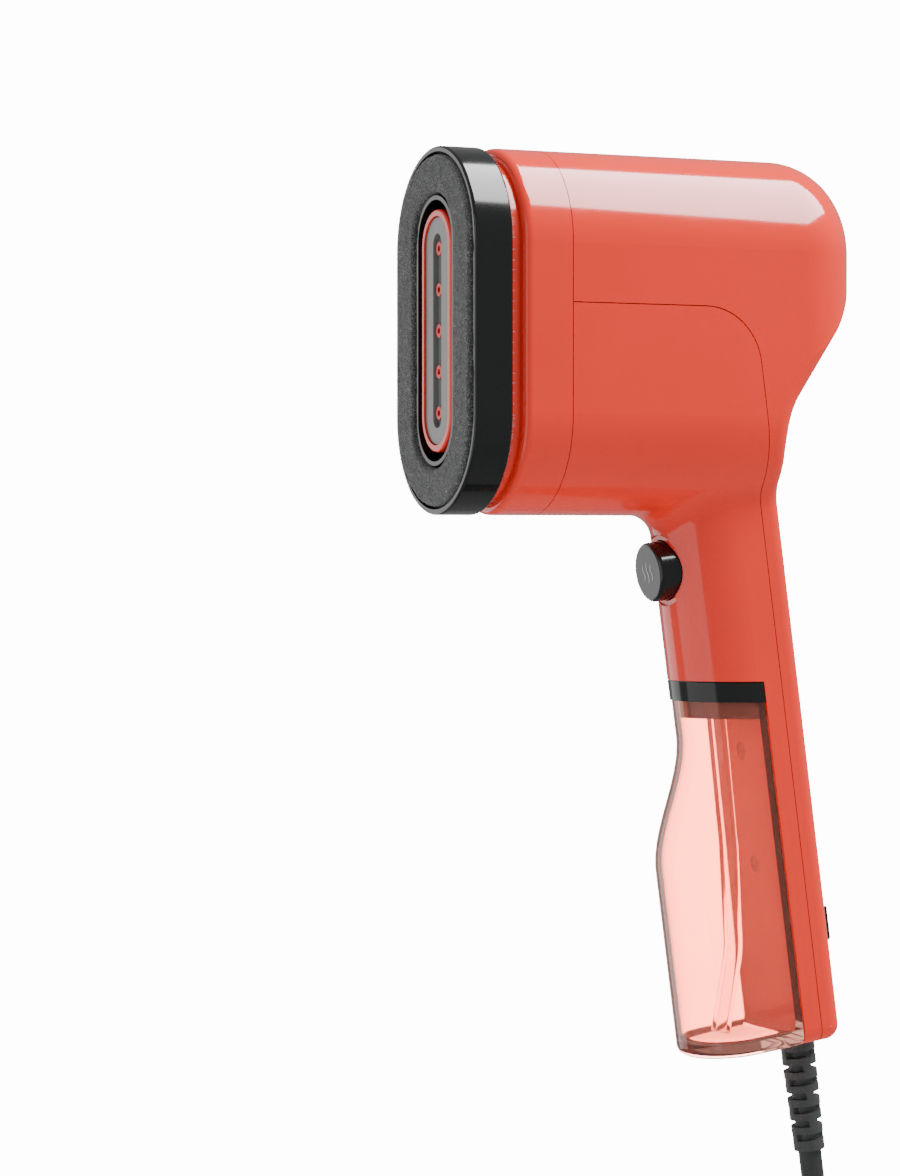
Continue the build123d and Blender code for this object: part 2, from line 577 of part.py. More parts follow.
YOKE_THICK = 1.6
with BuildPart() as pump_yoke:
    bar(level_plane(PUMP_X, PUMP_Y, COIL_Z - YOKE_THICK), 24.0, YOKE_SIZE, COIL_LENGTH + 2 * YOKE_THICK)
    bar(level_plane(PUMP_X, PUMP_Y, COIL_Z), 2 * YOKE_SIZE, YOKE_SIZE - 2 * YOKE_THICK, COIL_LENGTH,
        mode=Mode.SUBTRACT)
    rod(level_plane(PUMP_X, PUMP_Y, COIL_Z - YOKE_THICK), TUBE_RADIUS + SEAT, PUMP_LENGTH,
        mode=Mode.SUBTRACT)
pump_yoke.part.label = "pump_yoke"
export_step(pump_yoke.part, "parts/pump_yoke.step")

with BuildPart() as pump_mounts:
    for z in MOUNT_Z:
        rod(level_plane(PUMP_X, PUMP_Y, z), MOUNT_RADIUS, MOUNT_HEIGHT)
        rod(level_plane(PUMP_X, PUMP_Y, z), TUBE_RADIUS + SEAT, MOUNT_HEIGHT, mode=Mode.SUBTRACT)
pump_mounts.part.label = "pump_mounts"
export_step(pump_mounts.part, "parts/pump_mounts.step")

with BuildPart() as pump_piston:
    rod(level_plane(PUMP_X, PUMP_Y, PISTON_LOW_Z), PISTON_RADIUS, PISTON_LENGTH)
    rod(level_plane(PUMP_X, PUMP_Y, PISTON_LOW_Z), 1.0, PISTON_LENGTH, mode=Mode.SUBTRACT)
pump_piston.part.label = "pump_piston"
export_step(pump_piston.part, "parts/pump_piston.step")


def coil_spring(base, radius, wire, length, turns):
    """Round-wire compression spring standing on a plane."""
    rise = length - 2 * wire
    centre = base.origin + base.z_dir * wire
    with BuildPart() as spring:
        with BuildLine() as path:
            Helix(pitch=rise / turns, height=rise, radius=radius, center=centre, direction=base.z_dir)
        helix = path.wires()[0]
        with BuildSketch(Plane(origin=helix @ 0, z_dir=helix % 0)) as section:
            Circle(wire)
        sweep(section.sketch, path=helix, is_frenet=True)
    return spring.part


piston_spring = coil_spring(
    level_plane(PUMP_X, PUMP_Y, PISTON_LOW_Z + PISTON_LENGTH + 0.5), 2.5, 0.35, 11.0, 7)
piston_spring.label = "piston_spring"
export_step(piston_spring, "parts/piston_spring.step")


def hose(points, radii, bore):
    """Thick-walled hose along straight runs joined by arcs."""
    with BuildPart() as tube:
        with BuildLine() as path:
            FilletPolyline(*points, radius=radii)
        run = path.wires()[0]
        with BuildSketch(Plane(origin=run @ 0, z_dir=run % 0)) as section:
            Circle(HOSE_RADIUS)
            Circle(bore, mode=Mode.SUBTRACT)
        sweep(section.sketch, path=run)
    return tube.part


INLET_Z = HEAD_MID_Z + INLET_UP
PUMP_TOP_Z = PUMP_LOW_Z + PUMP_LENGTH
delivery_hose = hose(
    [(PUMP_X, PUMP_Y, PUMP_TOP_Z + SEAT), (PUMP_X, PUMP_Y, INLET_Z + 4.0),
     (0.8, -24.0, INLET_Z + 4.0), (0, -34.0, INLET_Z), (0, LID_BACK + 3.2, INLET_Z)],
    [9.0, 8.0, 8.0], BARB_RADIUS + SEAT)
delivery_hose.label = "delivery_hose"
export_step(delivery_hose, "parts/delivery_hose.step")

SOCKET_TOP = 2.0
SOCKET_HOSE = (9.0, 4.5)                # hose barb on the socket, X and along the handle depth
suction_hose = hose(
    [handle_point(SOCKET_HOSE[0], SOCKET_HOSE[1], SOCKET_TOP),
     handle_point(SOCKET_HOSE[0], SOCKET_HOSE[1], 18.0),
     handle_point(SOCKET_HOSE[0] - 0.5, 5.5, 34.0),
     (PUMP_X, PUMP_Y, 47.0), (PUMP_X, PUMP_Y, PUMP_LOW_Z - SEAT)],
    [30.0, 14.0, 14.0], BARB_RADIUS + SEAT)
suction_hose.label = "suction_hose"
export_step(suction_hose, "parts/suction_hose.step")


# Electrics in the head ---------------------------------------------------------------------------

BOARD_X = FRAME_X - 4.0
BOARD_Y = (FRAME_FRONT + FRAME_BACK) / 2 - 1.0
BOARD_Z = 92.0
BOARD_WIDTH = 26.0
BOARD_HEIGHT = 40.0
BOARD_THICK = 1.6


def board_plane(x, y, z, facing):
    """Upright plane beside the board, y and z measured from the board's middle."""
    return Plane((x, BOARD_Y + y, BOARD_Z + z), x_dir=(0, 1, 0), z_dir=(facing, 0, 0))


with BuildPart() as control_board:
    bar(board_plane(BOARD_X, 0, 0, 1), BOARD_WIDTH, BOARD_HEIGHT, BOARD_THICK)
control_board.part.label = "control_board"
export_step(control_board.part, "parts/control_board.step")

with BuildPart() as board_parts:
    for y, z, width, height, depth in ((-5, 10, 10, 15, 4.5), (-5, -9, 12, 9, 4.0), (7, 3, 6, 12, 3.5)):
        bar(board_plane(BOARD_X, y, z, -1), width, height, depth)
    for y in (-BOARD_WIDTH / 2 + 2, BOARD_WIDTH / 2 - 2):
        for z in (-BOARD_HEIGHT / 2 + 2, BOARD_HEIGHT / 2 - 2):
            rod(board_plane(BOARD_X + BOARD_THICK, y, z, 1), 1.6, FRAME_X - BOARD_X - BOARD_THICK)
board_parts.part.label = "board_parts"
export_step(board_parts.part, "parts/board_parts.step")

BLOCK_Y = -28.0
BLOCK_Z = 74.0
with BuildPart() as terminal_block:
    block_plane = Plane((FRAME_X + FRAME_THICK, BLOCK_Y, BLOCK_Z), x_dir=(0, 1, 0), z_dir=(1, 0, 0))
    bar(block_plane, 12.0, 22.0, 9.0)
    for z in (-7.0, 0.0, 7.0):
        rod(Plane((0, BLOCK_Y, BLOCK_Z + z), x_dir=(0, 1, 0), z_dir=(-1, 0, 0)), 2.2, 6.0,
            mode=Mode.SUBTRACT)
terminal_block.part.label = "terminal_block"
export_step(terminal_block.part, "parts/terminal_block.step")


# Steam button with its switch ----------------------------------------------------------------------

GUIDE_FACE = 3.0                        # front of the guide plate, forward of the handle axis
GUIDE_THICK = 2.0
FLANGE_BACK = 8.7
STEM_TIP = GUIDE_FACE - GUIDE_THICK + BUTTON_TRAVEL + 0.2
with BuildPart() as steam_button:
    rod(front_plane(-FLANGE_BACK, BUTTON_AXIS_Z), BUTTON_RADIUS,
        HANDLE_BACK + BUTTON_PROUD - FLANGE_BACK)
    fillet(steam_button.edges().sort_by(Axis.Y)[0], 1.2)
    rod(front_plane(-FLANGE_BACK, BUTTON_AXIS_Z), BUTTON_RADIUS + 1.2, 1.5)
    rod(front_plane(-STEM_TIP, BUTTON_AXIS_Z), 3.0, FLANGE_BACK - STEM_TIP)
steam_button.part.label = "steam_button"
export_step(steam_button.part, "parts/steam_button.step")

GUIDE_HALF = ((HANDLE_WIDTH / 2 - WALL) ** 2 - (GUIDE_FACE + NOSE_Y) ** 2) ** 0.5 - FIT
with BuildPart() as button_guide:
    bar(front_plane(-GUIDE_FACE + GUIDE_THICK, BUTTON_AXIS_Z), 2 * GUIDE_HALF, 24.0, GUIDE_THICK)
    rod(front_plane(0, BUTTON_AXIS_Z), 3.0 + FIT, HANDLE_DEPTH, mode=Mode.SUBTRACT)
button_guide.part.label = "button_guide"
export_step(button_guide.part, "parts/button_guide.step")

button_spring = coil_spring(front_plane(-GUIDE_FACE - 0.2, BUTTON_AXIS_Z), 4.4, 0.4, 5.3, 4)
button_spring.label = "button_spring"
export_step(button_spring, "parts/button_spring.step")

SWITCH_FACE = GUIDE_FACE - GUIDE_THICK
SWITCH_DEPTH = 9.0
with BuildPart() as trigger_switch:
    bar(front_plane(-SWITCH_FACE + SWITCH_DEPTH, BUTTON_AXIS_Z), 6.4, 20.0, SWITCH_DEPTH)
    rod(front_plane(-SWITCH_FACE + SWITCH_DEPTH - 1.2, BUTTON_AXIS_Z), 1.6, SWITCH_DEPTH,
        mode=Mode.SUBTRACT)
    for z in (-6.0, 6.0):
        bar(front_plane(-SWITCH_FACE + SWITCH_DEPTH + 3.0, BUTTON_AXIS_Z + z), 3.2, 0.8, 3.0)
trigger_switch.part.label = "trigger_switch"
export_step(trigger_switch.part, "parts/trigger_switch.step")

with BuildPart() as switch_plunger:
    rod(front_plane(3.0, BUTTON_AXIS_Z), 1.4, 3.0 + STEM_TIP - FIT)
switch_plunger.part.label = "switch_plunger"
export_step(switch_plunger.part, "parts/switch_plunger.step")


# Power button in the back of the handle --------------------------------------------------------------

POWER_TRAVEL = 1.0
with BuildPart() as power_button:
    bar(front_plane(HANDLE_BACK + POWER_PROUD, POWER_AXIS_Z), POWER_WIDTH, POWER_HEIGHT,
        POWER_PROUD + WALL)
    fillet(power_button.edges().group_by(Axis.Y)[-1], 0.8)
    bar(front_plane(HANDLE_BACK - WALL - 0.2, POWER_AXIS_Z), 12.0, POWER_HEIGHT + 2, 1.0)
    bar(front_plane(HANDLE_BACK - WALL, POWER_AXIS_Z), 12.0, POWER_HEIGHT, 0.4)
power_button.part.label = "power_button"
export_step(power_button.part, "parts/power_button.step")

POWER_SWITCH_TOP = HANDLE_BACK - WALL - 1.2 - POWER_TRAVEL - 0.2
with BuildPart() as power_switch:
    bar(front_plane(POWER_SWITCH_TOP, POWER_AXIS_Z), 12.0, 14.0, POWER_SWITCH_TOP - SPINE_Y - SPINE_WALL)
power_switch.part.label = "power_switch"
export_step(power_switch.part, "parts/power_switch.step")


# Tank --------------------------------------------------------------------------------------------

def bulge(z):
    """How far the tank's front stands forward of the handle's at z along the axis."""
    t = min(max((BULGE_START - z) / (BULGE_START - BULGE_END), 0.0), 1.0)
    return TANK_BULGE * t * t * (3 - 2 * t)


def tank_section(z, inset, waist):
    """Handle-like section at z, its front moved forward by the bulge."""
    radius = HANDLE_WIDTH / 2 - waist - inset
    back = max(SPINE_Y - TANK_GAP - inset, NOSE_Y + 0.2)
    middle = NOSE_Y - bulge(z)
    with BuildSketch(handle_plane(z)) as section:
        with BuildLine():
            ThreePointArc((-radius, middle), (0, middle - radius), (radius, middle))
            Polyline((radius, middle), (radius, back), (-radius, back), (-radius, middle))
        make_face()
    return section.sketch.face()


def tank_form(inset, top, foot, waist):
    """Straight neck, loft down to the end of the bulge, then straight to a rounded foot."""
    levels = [BULGE_START + (BULGE_END - BULGE_START) * k / 6 for k in range(7)]
    with BuildPart() as form:
        extrude(tank_section(foot, inset, waist), amount=BULGE_END - foot)
        fillet(form.faces().sort_by(Axis((0, 0, 0), handle_plane(0).z_dir))[0].edges(), TANK_ROUND)
        loft([tank_section(z, inset, waist) for z in levels])
        extrude(tank_section(BULGE_START, inset, waist), amount=top - BULGE_START)
    return form.part


def level_slab(low, high):
    """Everything between two world heights."""
    with BuildPart() as slab:
        bar(level_plane(0, 0, low), FAR, FAR, high - low)
    return slab.part


COLLAR_TOP_Z = TANK_TOP_Z - TANK_GAP
COLLAR_LOW_Z = COLLAR_TOP_Z - COLLAR_HEIGHT
NECK_RADIUS = NECK_BORE - NECK_CLEARANCE
NECK_TOP = -6.0                         # along the handle axis
NECK_FOOT = -20.0
SEAL_Z = -8.6
SEAL_WIRE = 0.6
with BuildPart() as tank_shell:
    add(tank_form(0, -8.0, HANDLE_FOOT, WAIST))
    add(tank_form(TANK_WALL, -7.0, HANDLE_FOOT + TANK_FLOOR, WAIST), mode=Mode.SUBTRACT)
    add(level_slab(COLLAR_LOW_Z - SEAT, FAR), mode=Mode.SUBTRACT)
tank_shell.part.label = "tank_shell"
export_step(tank_shell.part, "parts/tank_shell.step")

with BuildPart() as tank_collar:
    add(tank_form(0, 0, HANDLE_FOOT, 0) & level_slab(COLLAR_LOW_Z, COLLAR_TOP_Z))
    add(tank_form(TANK_WALL + SEAT, 0, HANDLE_FOOT, WAIST)
        & level_slab(COLLAR_LOW_Z - 5, COLLAR_LOW_Z + 1))
    add(tank_form(TANK_WALL + 1.5, 0, HANDLE_FOOT, WAIST)
        & level_slab(COLLAR_LOW_Z - 6, COLLAR_TOP_Z - 2), mode=Mode.SUBTRACT)
    rod(handle_plane(NECK_FOOT, SOCKET_Y), NECK_RADIUS, NECK_TOP - NECK_FOOT)
    with BuildSketch(handle_plane(SEAL_Z - SEAL_WIRE - SEAT, SOCKET_Y)) as groove:
        Circle(NECK_RADIUS + 1)
        Circle(NECK_RADIUS - 2 * SEAL_WIRE, mode=Mode.SUBTRACT)
    extrude(groove.sketch, amount=2 * (SEAL_WIRE + SEAT), mode=Mode.SUBTRACT)
    rod(handle_plane(NECK_FOOT, SOCKET_Y), 2.6, NECK_TOP - NECK_FOOT - 1.6, mode=Mode.SUBTRACT)
    rod(handle_plane(NECK_FOOT, SOCKET_Y), 1.5, NECK_TOP - NECK_FOOT, mode=Mode.SUBTRACT)
tank_collar.part.label = "tank_collar"
export_step(tank_collar.part, "parts/tank_collar.step")

with BuildPart() as neck_seal:
    with Locations(handle_plane(SEAL_Z, SOCKET_Y)):
        Torus(NECK_RADIUS - SEAL_WIRE + 0.05, SEAL_WIRE)
neck_seal.part.label = "neck_seal"
export_step(neck_seal.part, "parts/neck_seal.step")

VALVE_TOP = NECK_TOP - 1.6 - SEAT
VALVE_TRAVEL = 2.5
with BuildPart() as tank_valve:
    rod(handle_plane(VALVE_TOP - 1.6, SOCKET_Y), 2.3, 1.6)
    rod(handle_plane(VALVE_TOP - 1.6, SOCKET_Y), 1.2, 1.6 + 1.5)
tank_valve.part.label = "tank_valve"
export_step(tank_valve.part, "parts/tank_valve.step")

SPRING_LENGTH = VALVE_TOP - 1.6 - NECK_FOOT - 0.2
valve_spring = coil_spring(handle_plane(NECK_FOOT + 0.5, SOCKET_Y), 1.9, 0.3, SPRING_LENGTH - 0.6, 6)
valve_spring.label = "valve_spring"
export_step(valve_spring, "parts/valve_spring.step")

with BuildPart() as tank_tube:
    with BuildLine() as path:
        FilletPolyline(handle_point(0, SOCKET_Y, NECK_FOOT - SEAT), handle_point(0, -5.0, -60.0),
                       handle_point(0, -7.5, -92.0), handle_point(0, -15.0, HANDLE_FOOT + TANK_FLOOR + 2),
                       radius=[60.0, 30.0])
    run = path.wires()[0]
    with BuildSketch(Plane(origin=run @ 0, z_dir=run % 0)) as section:
        Circle(2.8)
        Circle(1.5, mode=Mode.SUBTRACT)
    sweep(section.sketch, path=run)
tank_tube.part.label = "tank_tube"
export_step(tank_tube.part, "parts/tank_tube.step")

with BuildPart() as tank_socket:
    ceiling = TANK_TOP_Z + WALL + SEAT
    rod(handle_plane(-16.0, SOCKET_Y), NECK_BORE + SOCKET_WALL - SEAT, 18.0)
    rod(level_plane(0, (SOCKET_Y - ceiling * LEAN_SIN) / LEAN_COS, ceiling),
        NECK_BORE + SOCKET_WALL + 2.2, 1.5)
    with BuildSketch(handle_plane(-1.0)) as arm:
        with Locations((SOCKET_HOSE[0] / 2, (SOCKET_HOSE[1] + SOCKET_Y) / 2)):
            reach = (SOCKET_HOSE[0], SOCKET_HOSE[1] - SOCKET_Y)
            length = (reach[0] ** 2 + reach[1] ** 2) ** 0.5
            SlotCenterToCenter(length, 8.0, rotation=Vector(1, 0, 0).get_signed_angle(Vector(*reach)))
    extrude(arm.sketch, amount=SOCKET_TOP + 1.0)
    rod(handle_plane(SOCKET_TOP, SOCKET_HOSE[1], SOCKET_HOSE[0]), BARB_RADIUS, 6.0)
    rod(handle_plane(-1.0 + 1.2, SOCKET_HOSE[1], SOCKET_HOSE[0]), 1.1, 12.0, mode=Mode.SUBTRACT)
    rod(handle_plane(-16.0, SOCKET_Y), NECK_BORE, NECK_TOP + 16.0 + 0.8, mode=Mode.SUBTRACT)
    add(level_slab(-FAR, TANK_TOP_Z), mode=Mode.SUBTRACT)
tank_socket.part.label = "tank_socket"
export_step(tank_socket.part, "parts/tank_socket.step")


# Pad: a reversible ring with felt in front and a lint brush behind ---------------------------------

WEB_FRONT = PAD_FRONT + 4.8
WEB_THICK = 2.0
COLLAR_WALL = 1.2
FELT_MARGIN = 0.8
with BuildPart() as pad_frame:
    stadium(head_plane(PAD_FRONT), PAD_LENGTH, PAD_WIDTH, PAD_DEPTH)
    fillet(pad_frame.edges().group_by(Axis.Y)[0], 0.7)
    fillet(pad_frame.edges().group_by(Axis.Y)[-1], 0.7)
    for start, depth in ((PAD_FRONT, WEB_FRONT - PAD_FRONT), (WEB_FRONT + WEB_THICK, PAD_DEPTH)):
        with BuildSketch(head_plane(start)) as trough:
            SlotOverall(PAD_LENGTH - 2 * PAD_WALL, PAD_WIDTH - 2 * PAD_WALL)
            SlotOverall(PAD_HOLE_LENGTH + 2 * COLLAR_WALL, PAD_HOLE_WIDTH + 2 * COLLAR_WALL,
                        mode=Mode.SUBTRACT)
        extrude(trough.sketch, amount=depth, mode=Mode.SUBTRACT)
    stadium(head_plane(PAD_FRONT), PAD_HOLE_LENGTH, PAD_HOLE_WIDTH, PAD_DEPTH, mode=Mode.SUBTRACT)
pad_frame.part.label = "pad_frame"
export_step(pad_frame.part, "parts/pad_frame.step")

FELT_OUTER = 2 * (PAD_WALL + FELT_MARGIN)
FELT_INNER = 2 * (COLLAR_WALL + FELT_MARGIN)
with BuildPart() as felt_pad:
    with BuildSketch(head_plane(PAD_FRONT - FELT_PROUD)) as felt:
        SlotOverall(PAD_LENGTH - FELT_OUTER, PAD_WIDTH - FELT_OUTER)
        SlotOverall(PAD_HOLE_LENGTH + FELT_INNER, PAD_HOLE_WIDTH + FELT_INNER, mode=Mode.SUBTRACT)
    extrude(felt.sketch, amount=WEB_FRONT - PAD_FRONT + FELT_PROUD)
    fillet(felt_pad.edges().group_by(Axis.Y)[0], 1.4)
felt_pad.part.label = "felt_pad"
export_step(felt_pad.part, "parts/felt_pad.step")

LINT_PROUD = 0.9
with BuildPart() as lint_pad:
    with BuildSketch(head_plane(WEB_FRONT + WEB_THICK)) as lint:
        SlotOverall(PAD_LENGTH - 2 * PAD_WALL - 2 * SEAT, PAD_WIDTH - 2 * PAD_WALL - 2 * SEAT)
        SlotOverall(PAD_HOLE_LENGTH + FELT_INNER, PAD_HOLE_WIDTH + FELT_INNER, mode=Mode.SUBTRACT)
    extrude(lint.sketch, amount=PAD_BACK + LINT_PROUD - WEB_FRONT - WEB_THICK)
lint_pad.part.label = "lint_pad"
export_step(lint_pad.part, "parts/lint_pad.step")

with BuildPart() as pad_latches:
    with BuildSketch(head_plane(NECK_FRONT - 7.0)) as leaves:
        with GridLocations(SNOUT_LENGTH + 2 * 0.25 + 1.4, 1, 2, 1):
            Rectangle(1.4, 6.0)
    extrude(leaves.sketch, amount=7.0)
pad_latches.part.label = "pad_latches"
export_step(pad_latches.part, "parts/pad_latches.step")


# Mains lead inside the spine -----------------------------------------------------------------------

SHEATH_END = -102.0
CLAMP_Z = -109.0
CLAMP_HEIGHT = 6.0
CLAMP_SPACING = 15.0
CLAMP_BACK = HANDLE_BACK - WALL - 1.7
RELIEF_FLANGE = HANDLE_FOOT + WALL + 0.2
with BuildPart() as mains_lead:
    rod(handle_plane(RELIEF_FLANGE + 2.0, RELIEF_Y), CORD_RADIUS, SHEATH_END - RELIEF_FLANGE - 2.0)
mains_lead.part.label = "mains_lead"
export_step(mains_lead.part, "parts/mains_lead.step")

with BuildPart() as cord_clamp:
    bar(front_plane(CLAMP_BACK, CLAMP_Z), 21.0, CLAMP_HEIGHT, CLAMP_BACK - SPINE_Y - SPINE_WALL)
    rod(handle_plane(CLAMP_Z - CLAMP_HEIGHT, RELIEF_Y), CORD_RADIUS + SEAT, 2 * CLAMP_HEIGHT,
        mode=Mode.SUBTRACT)
    for x in (-CLAMP_SPACING / 2, CLAMP_SPACING / 2):
        rod(front_plane(CLAMP_BACK, CLAMP_Z, x), 1.35, FAR, mode=Mode.SUBTRACT)
cord_clamp.part.label = "cord_clamp"
export_step(cord_clamp.part, "parts/cord_clamp.step")

with BuildPart() as clamp_screws:
    for x in (-CLAMP_SPACING / 2, CLAMP_SPACING / 2):
        rod(front_plane(CLAMP_BACK, CLAMP_Z, x), 1.3, CLAMP_BACK - SPINE_Y - SPINE_WALL - SEAT)
        rod(front_plane(CLAMP_BACK + 1.3, CLAMP_Z, x), 2.4, 1.3)
clamp_screws.part.label = "clamp_screws"
export_step(clamp_screws.part, "parts/clamp_screws.step")

WIRE_RADIUS = 1.1


def wire(points, radii):
    """Insulated core along straight runs joined by arcs."""
    with BuildPart() as core:
        with BuildLine() as path:
            FilletPolyline(*points, radius=radii)
        run = path.wires()[0]
        with BuildSketch(Plane(origin=run @ 0, z_dir=run % 0)) as section:
            Circle(WIRE_RADIUS)
        sweep(section.sketch, path=run)
    return core.part


core_wires = Compound(children=[
    wire([handle_point(side, RELIEF_Y, SHEATH_END + 0.2), handle_point(side - 0.2, RELIEF_Y + 0.1, -100.0),
          handle_point(outer, 10.6, -97.2), handle_point(outer - 0.4, 11.0, -78.0),
          handle_point(outer - 0.2, 10.8, 28.0), (outer, end_y + 14.0, 52.0), (outer + 0.5, end_y, 55.0),
          (outer + 0.5, end_y - 0.2, 63.0 - SEAT)],
         [1.0, 2.0, 20.0, 20.0, 8.0, 5.0])
    for side, outer, end_y in ((1.5, -8.0, -25.0), (-1.5, -11.0, -30.5))
])
core_wires.label = "core_wires"
export_step(core_wires, "parts/core_wires.step")


# Strain relief and the free cord ---------------------------------------------------------------------

RELIEF_TIP = HANDLE_FOOT - RELIEF_LENGTH
SLOT_PITCH = 4.2
SLOTS = 7
with BuildPart() as strain_relief:
    bar(handle_plane(RELIEF_FLANGE, RELIEF_Y), 14.0, 6.6, 2.0)
    rod(handle_plane(HANDLE_FOOT, RELIEF_Y), RELIEF_RADIUS, RELIEF_FLANGE - HANDLE_FOOT)
    with BuildSketch(handle_plane(HANDLE_FOOT, RELIEF_Y)) as upper:
        Circle(RELIEF_RADIUS)
    with BuildSketch(handle_plane(RELIEF_TIP, RELIEF_Y)) as lower:
        Circle(RELIEF_TIP_RADIUS)
    loft([upper.sketch.face(), lower.sketch.face()])
    for k in range(SLOTS):
        with BuildSketch(handle_plane(HANDLE_FOOT - 4.6 - k * SLOT_PITCH, RELIEF_Y)) as slots:
            Rectangle(3 * RELIEF_RADIUS, 3 * RELIEF_RADIUS)
            Circle(CORD_RADIUS - 0.1, mode=Mode.SUBTRACT)
            Rectangle(2.6, 3 * RELIEF_RADIUS, rotation=90 * (k % 2), mode=Mode.SUBTRACT)
        extrude(slots.sketch, amount=-2.0, mode=Mode.SUBTRACT)
strain_relief.part.label = "strain_relief"
export_step(strain_relief.part, "parts/strain_relief.step")


def cord_tube(points):
    """Cord along hand-chosen points, each corner as round as its two runs allow."""
    vectors = [Vector(*p) for p in points]
    radii = []
    for before, here, after in zip(vectors, vectors[1:], vectors[2:]):
        turn = radians((here - before).get_angle(after - here))
        shorter = min((here - before).length, (after - here).length)
        radii.append(0.45 * shorter / tan(turn / 2))
    print("cord radii", [round(r, 1) for r in radii])
    with BuildPart() as tube:
        with BuildLine() as path:
            FilletPolyline(*points, radius=radii)
        run = path.wires()[0]
        with BuildSketch(Plane(origin=run @ 0, z_dir=run % 0)) as section:
            Circle(CORD_RADIUS)
        sweep(section.sketch, path=run)
    print("cord run", round(run.length, 1), "volume over section times length",
          round(tube.part.volume / (run.length * section.sketch.area), 5))
    return tube.part


HANK_MID_Z = HANK_TOP_Z - HANK_LENGTH / 2
with BuildPart() as cord_hank:
    with BuildSketch(Plane((0, HANK_Y - HANK_DEPTH / 2, HANK_MID_Z), x_dir=(0, 0, 1), z_dir=(0, 1, 0))):
        SlotOverall(HANK_LENGTH, HANK_WIDTH)
    extrude(amount=HANK_DEPTH)
cord_hank.part.label = "cord_hank"
export_step(cord_hank.part, "parts/cord_hank.step")

PLUG_X = 12.0
PLUG_Y = 12.0
PLUG_TOP_Z = -277.0
with BuildPart() as plug_body:
    with BuildSketch(level_plane(PLUG_X, PLUG_Y, PLUG_TOP_Z)) as neck_end:
        Circle(CORD_RADIUS + 2.0)
    with BuildSketch(level_plane(PLUG_X, PLUG_Y, PLUG_TOP_Z - PLUG_LENGTH * 0.45)) as waist_end:
        RectangleRounded(PLUG_WIDTH * 0.62, PLUG_THICK - 2, 5.0)
    with BuildSketch(level_plane(PLUG_X, PLUG_Y, PLUG_TOP_Z - PLUG_LENGTH + 8)) as face_end:
        RectangleRounded(PLUG_WIDTH, PLUG_THICK, 6.0)
    loft([neck_end.sketch.face(), waist_end.sketch.face(), face_end.sketch.face()], ruled=True)
    extrude(face_end.sketch, amount=-8.0)
plug_body.part.label = "plug_body"
export_step(plug_body.part, "parts/plug_body.step")

lead = cord_tube([handle_point(0, RELIEF_Y, RELIEF_TIP),
                  handle_point(0, RELIEF_Y, RELIEF_TIP - 19.0),
                  (5.0, 36.0, -188.0), (15.0, 38.8, -202.0), (22.0, 39.5, -216.5), (24.0, 39.2, -233.0)])
tail = cord_tube([(19.5, 26.5, -228.5), (20.0, 23.5, -240.0), (17.2, 16.5, -252.0),
                  (13.5, 12.5, -264.0), (PLUG_X, PLUG_Y, PLUG_TOP_Z)])
free_tail = (tail - cord_hank.part - plug_body.part).solids().sort_by(Axis.Y)[0]
power_cord = Compound(children=[(lead - cord_hank.part).solids().sort_by(Axis.Z)[-1], free_tail])
power_cord.label = "power_cord"
export_step(power_cord, "parts/power_cord.step")

with BuildPart() as cord_tie:
    low = level_plane(0, HANK_Y, HANK_MID_Z - TIE_HEIGHT / 2)
    bar(low, HANK_WIDTH + 2 * TIE_THICK, HANK_DEPTH + 2 * TIE_THICK, TIE_HEIGHT)
    bar(low, HANK_WIDTH, HANK_DEPTH, TIE_HEIGHT, mode=Mode.SUBTRACT)
cord_tie.part.label = "cord_tie"
export_step(cord_tie.part, "parts/cord_tie.step")

PLUG_FACE_Z = PLUG_TOP_Z - PLUG_LENGTH
with BuildPart() as plug_pins:
    with BuildSketch(level_plane(PLUG_X, PLUG_Y, PLUG_FACE_Z)) as pins:
        with GridLocations(PIN_SPACING, 1, 2, 1):
            Circle(PIN_RADIUS)
    extrude(pins.sketch, amount=-PIN_LENGTH)
    fillet(plug_pins.edges().group_by(Axis.Z)[0], PIN_RADIUS * 0.6)
plug_pins.part.label = "plug_pins"
export_step(plug_pins.part, "parts/plug_pins.step")
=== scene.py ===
import math
import random
from math import cos, pi, radians, sin

import bmesh
import bpy
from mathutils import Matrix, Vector, noise


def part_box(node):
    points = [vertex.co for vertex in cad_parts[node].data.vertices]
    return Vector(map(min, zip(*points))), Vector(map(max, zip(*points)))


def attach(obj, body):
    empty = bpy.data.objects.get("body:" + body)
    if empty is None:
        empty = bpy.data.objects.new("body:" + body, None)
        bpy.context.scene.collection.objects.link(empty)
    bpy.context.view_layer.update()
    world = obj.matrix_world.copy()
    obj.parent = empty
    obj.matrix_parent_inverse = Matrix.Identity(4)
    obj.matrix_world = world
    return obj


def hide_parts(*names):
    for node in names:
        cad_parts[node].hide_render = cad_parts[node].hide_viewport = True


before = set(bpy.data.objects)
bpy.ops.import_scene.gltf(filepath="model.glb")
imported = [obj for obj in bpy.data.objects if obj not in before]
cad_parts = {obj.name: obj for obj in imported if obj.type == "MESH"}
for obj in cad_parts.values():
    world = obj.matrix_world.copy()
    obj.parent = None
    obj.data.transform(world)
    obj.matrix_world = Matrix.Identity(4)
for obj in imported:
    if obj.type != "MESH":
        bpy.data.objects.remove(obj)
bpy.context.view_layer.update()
scene = bpy.context.scene
rng = random.Random(7)

# Sizes in metres, in the row frame: +Z up, the steam face looks along -Y, origin in the grip -----

LEAN = radians(7.7)
LEAN_SIN, LEAN_COS = sin(LEAN), cos(LEAN)
HEAD_MID_Z = 0.089
BUTTON_FACE = 0.0209                    # forward of the handle's axis
BUTTON_UP = 0.0228                      # along the handle's axis


def handle_point(x, y, z):
    """Point of the leaning handle: y towards its back, z up its axis."""
    return Vector((x, y * LEAN_COS - z * LEAN_SIN, y * LEAN_SIN + z * LEAN_COS))


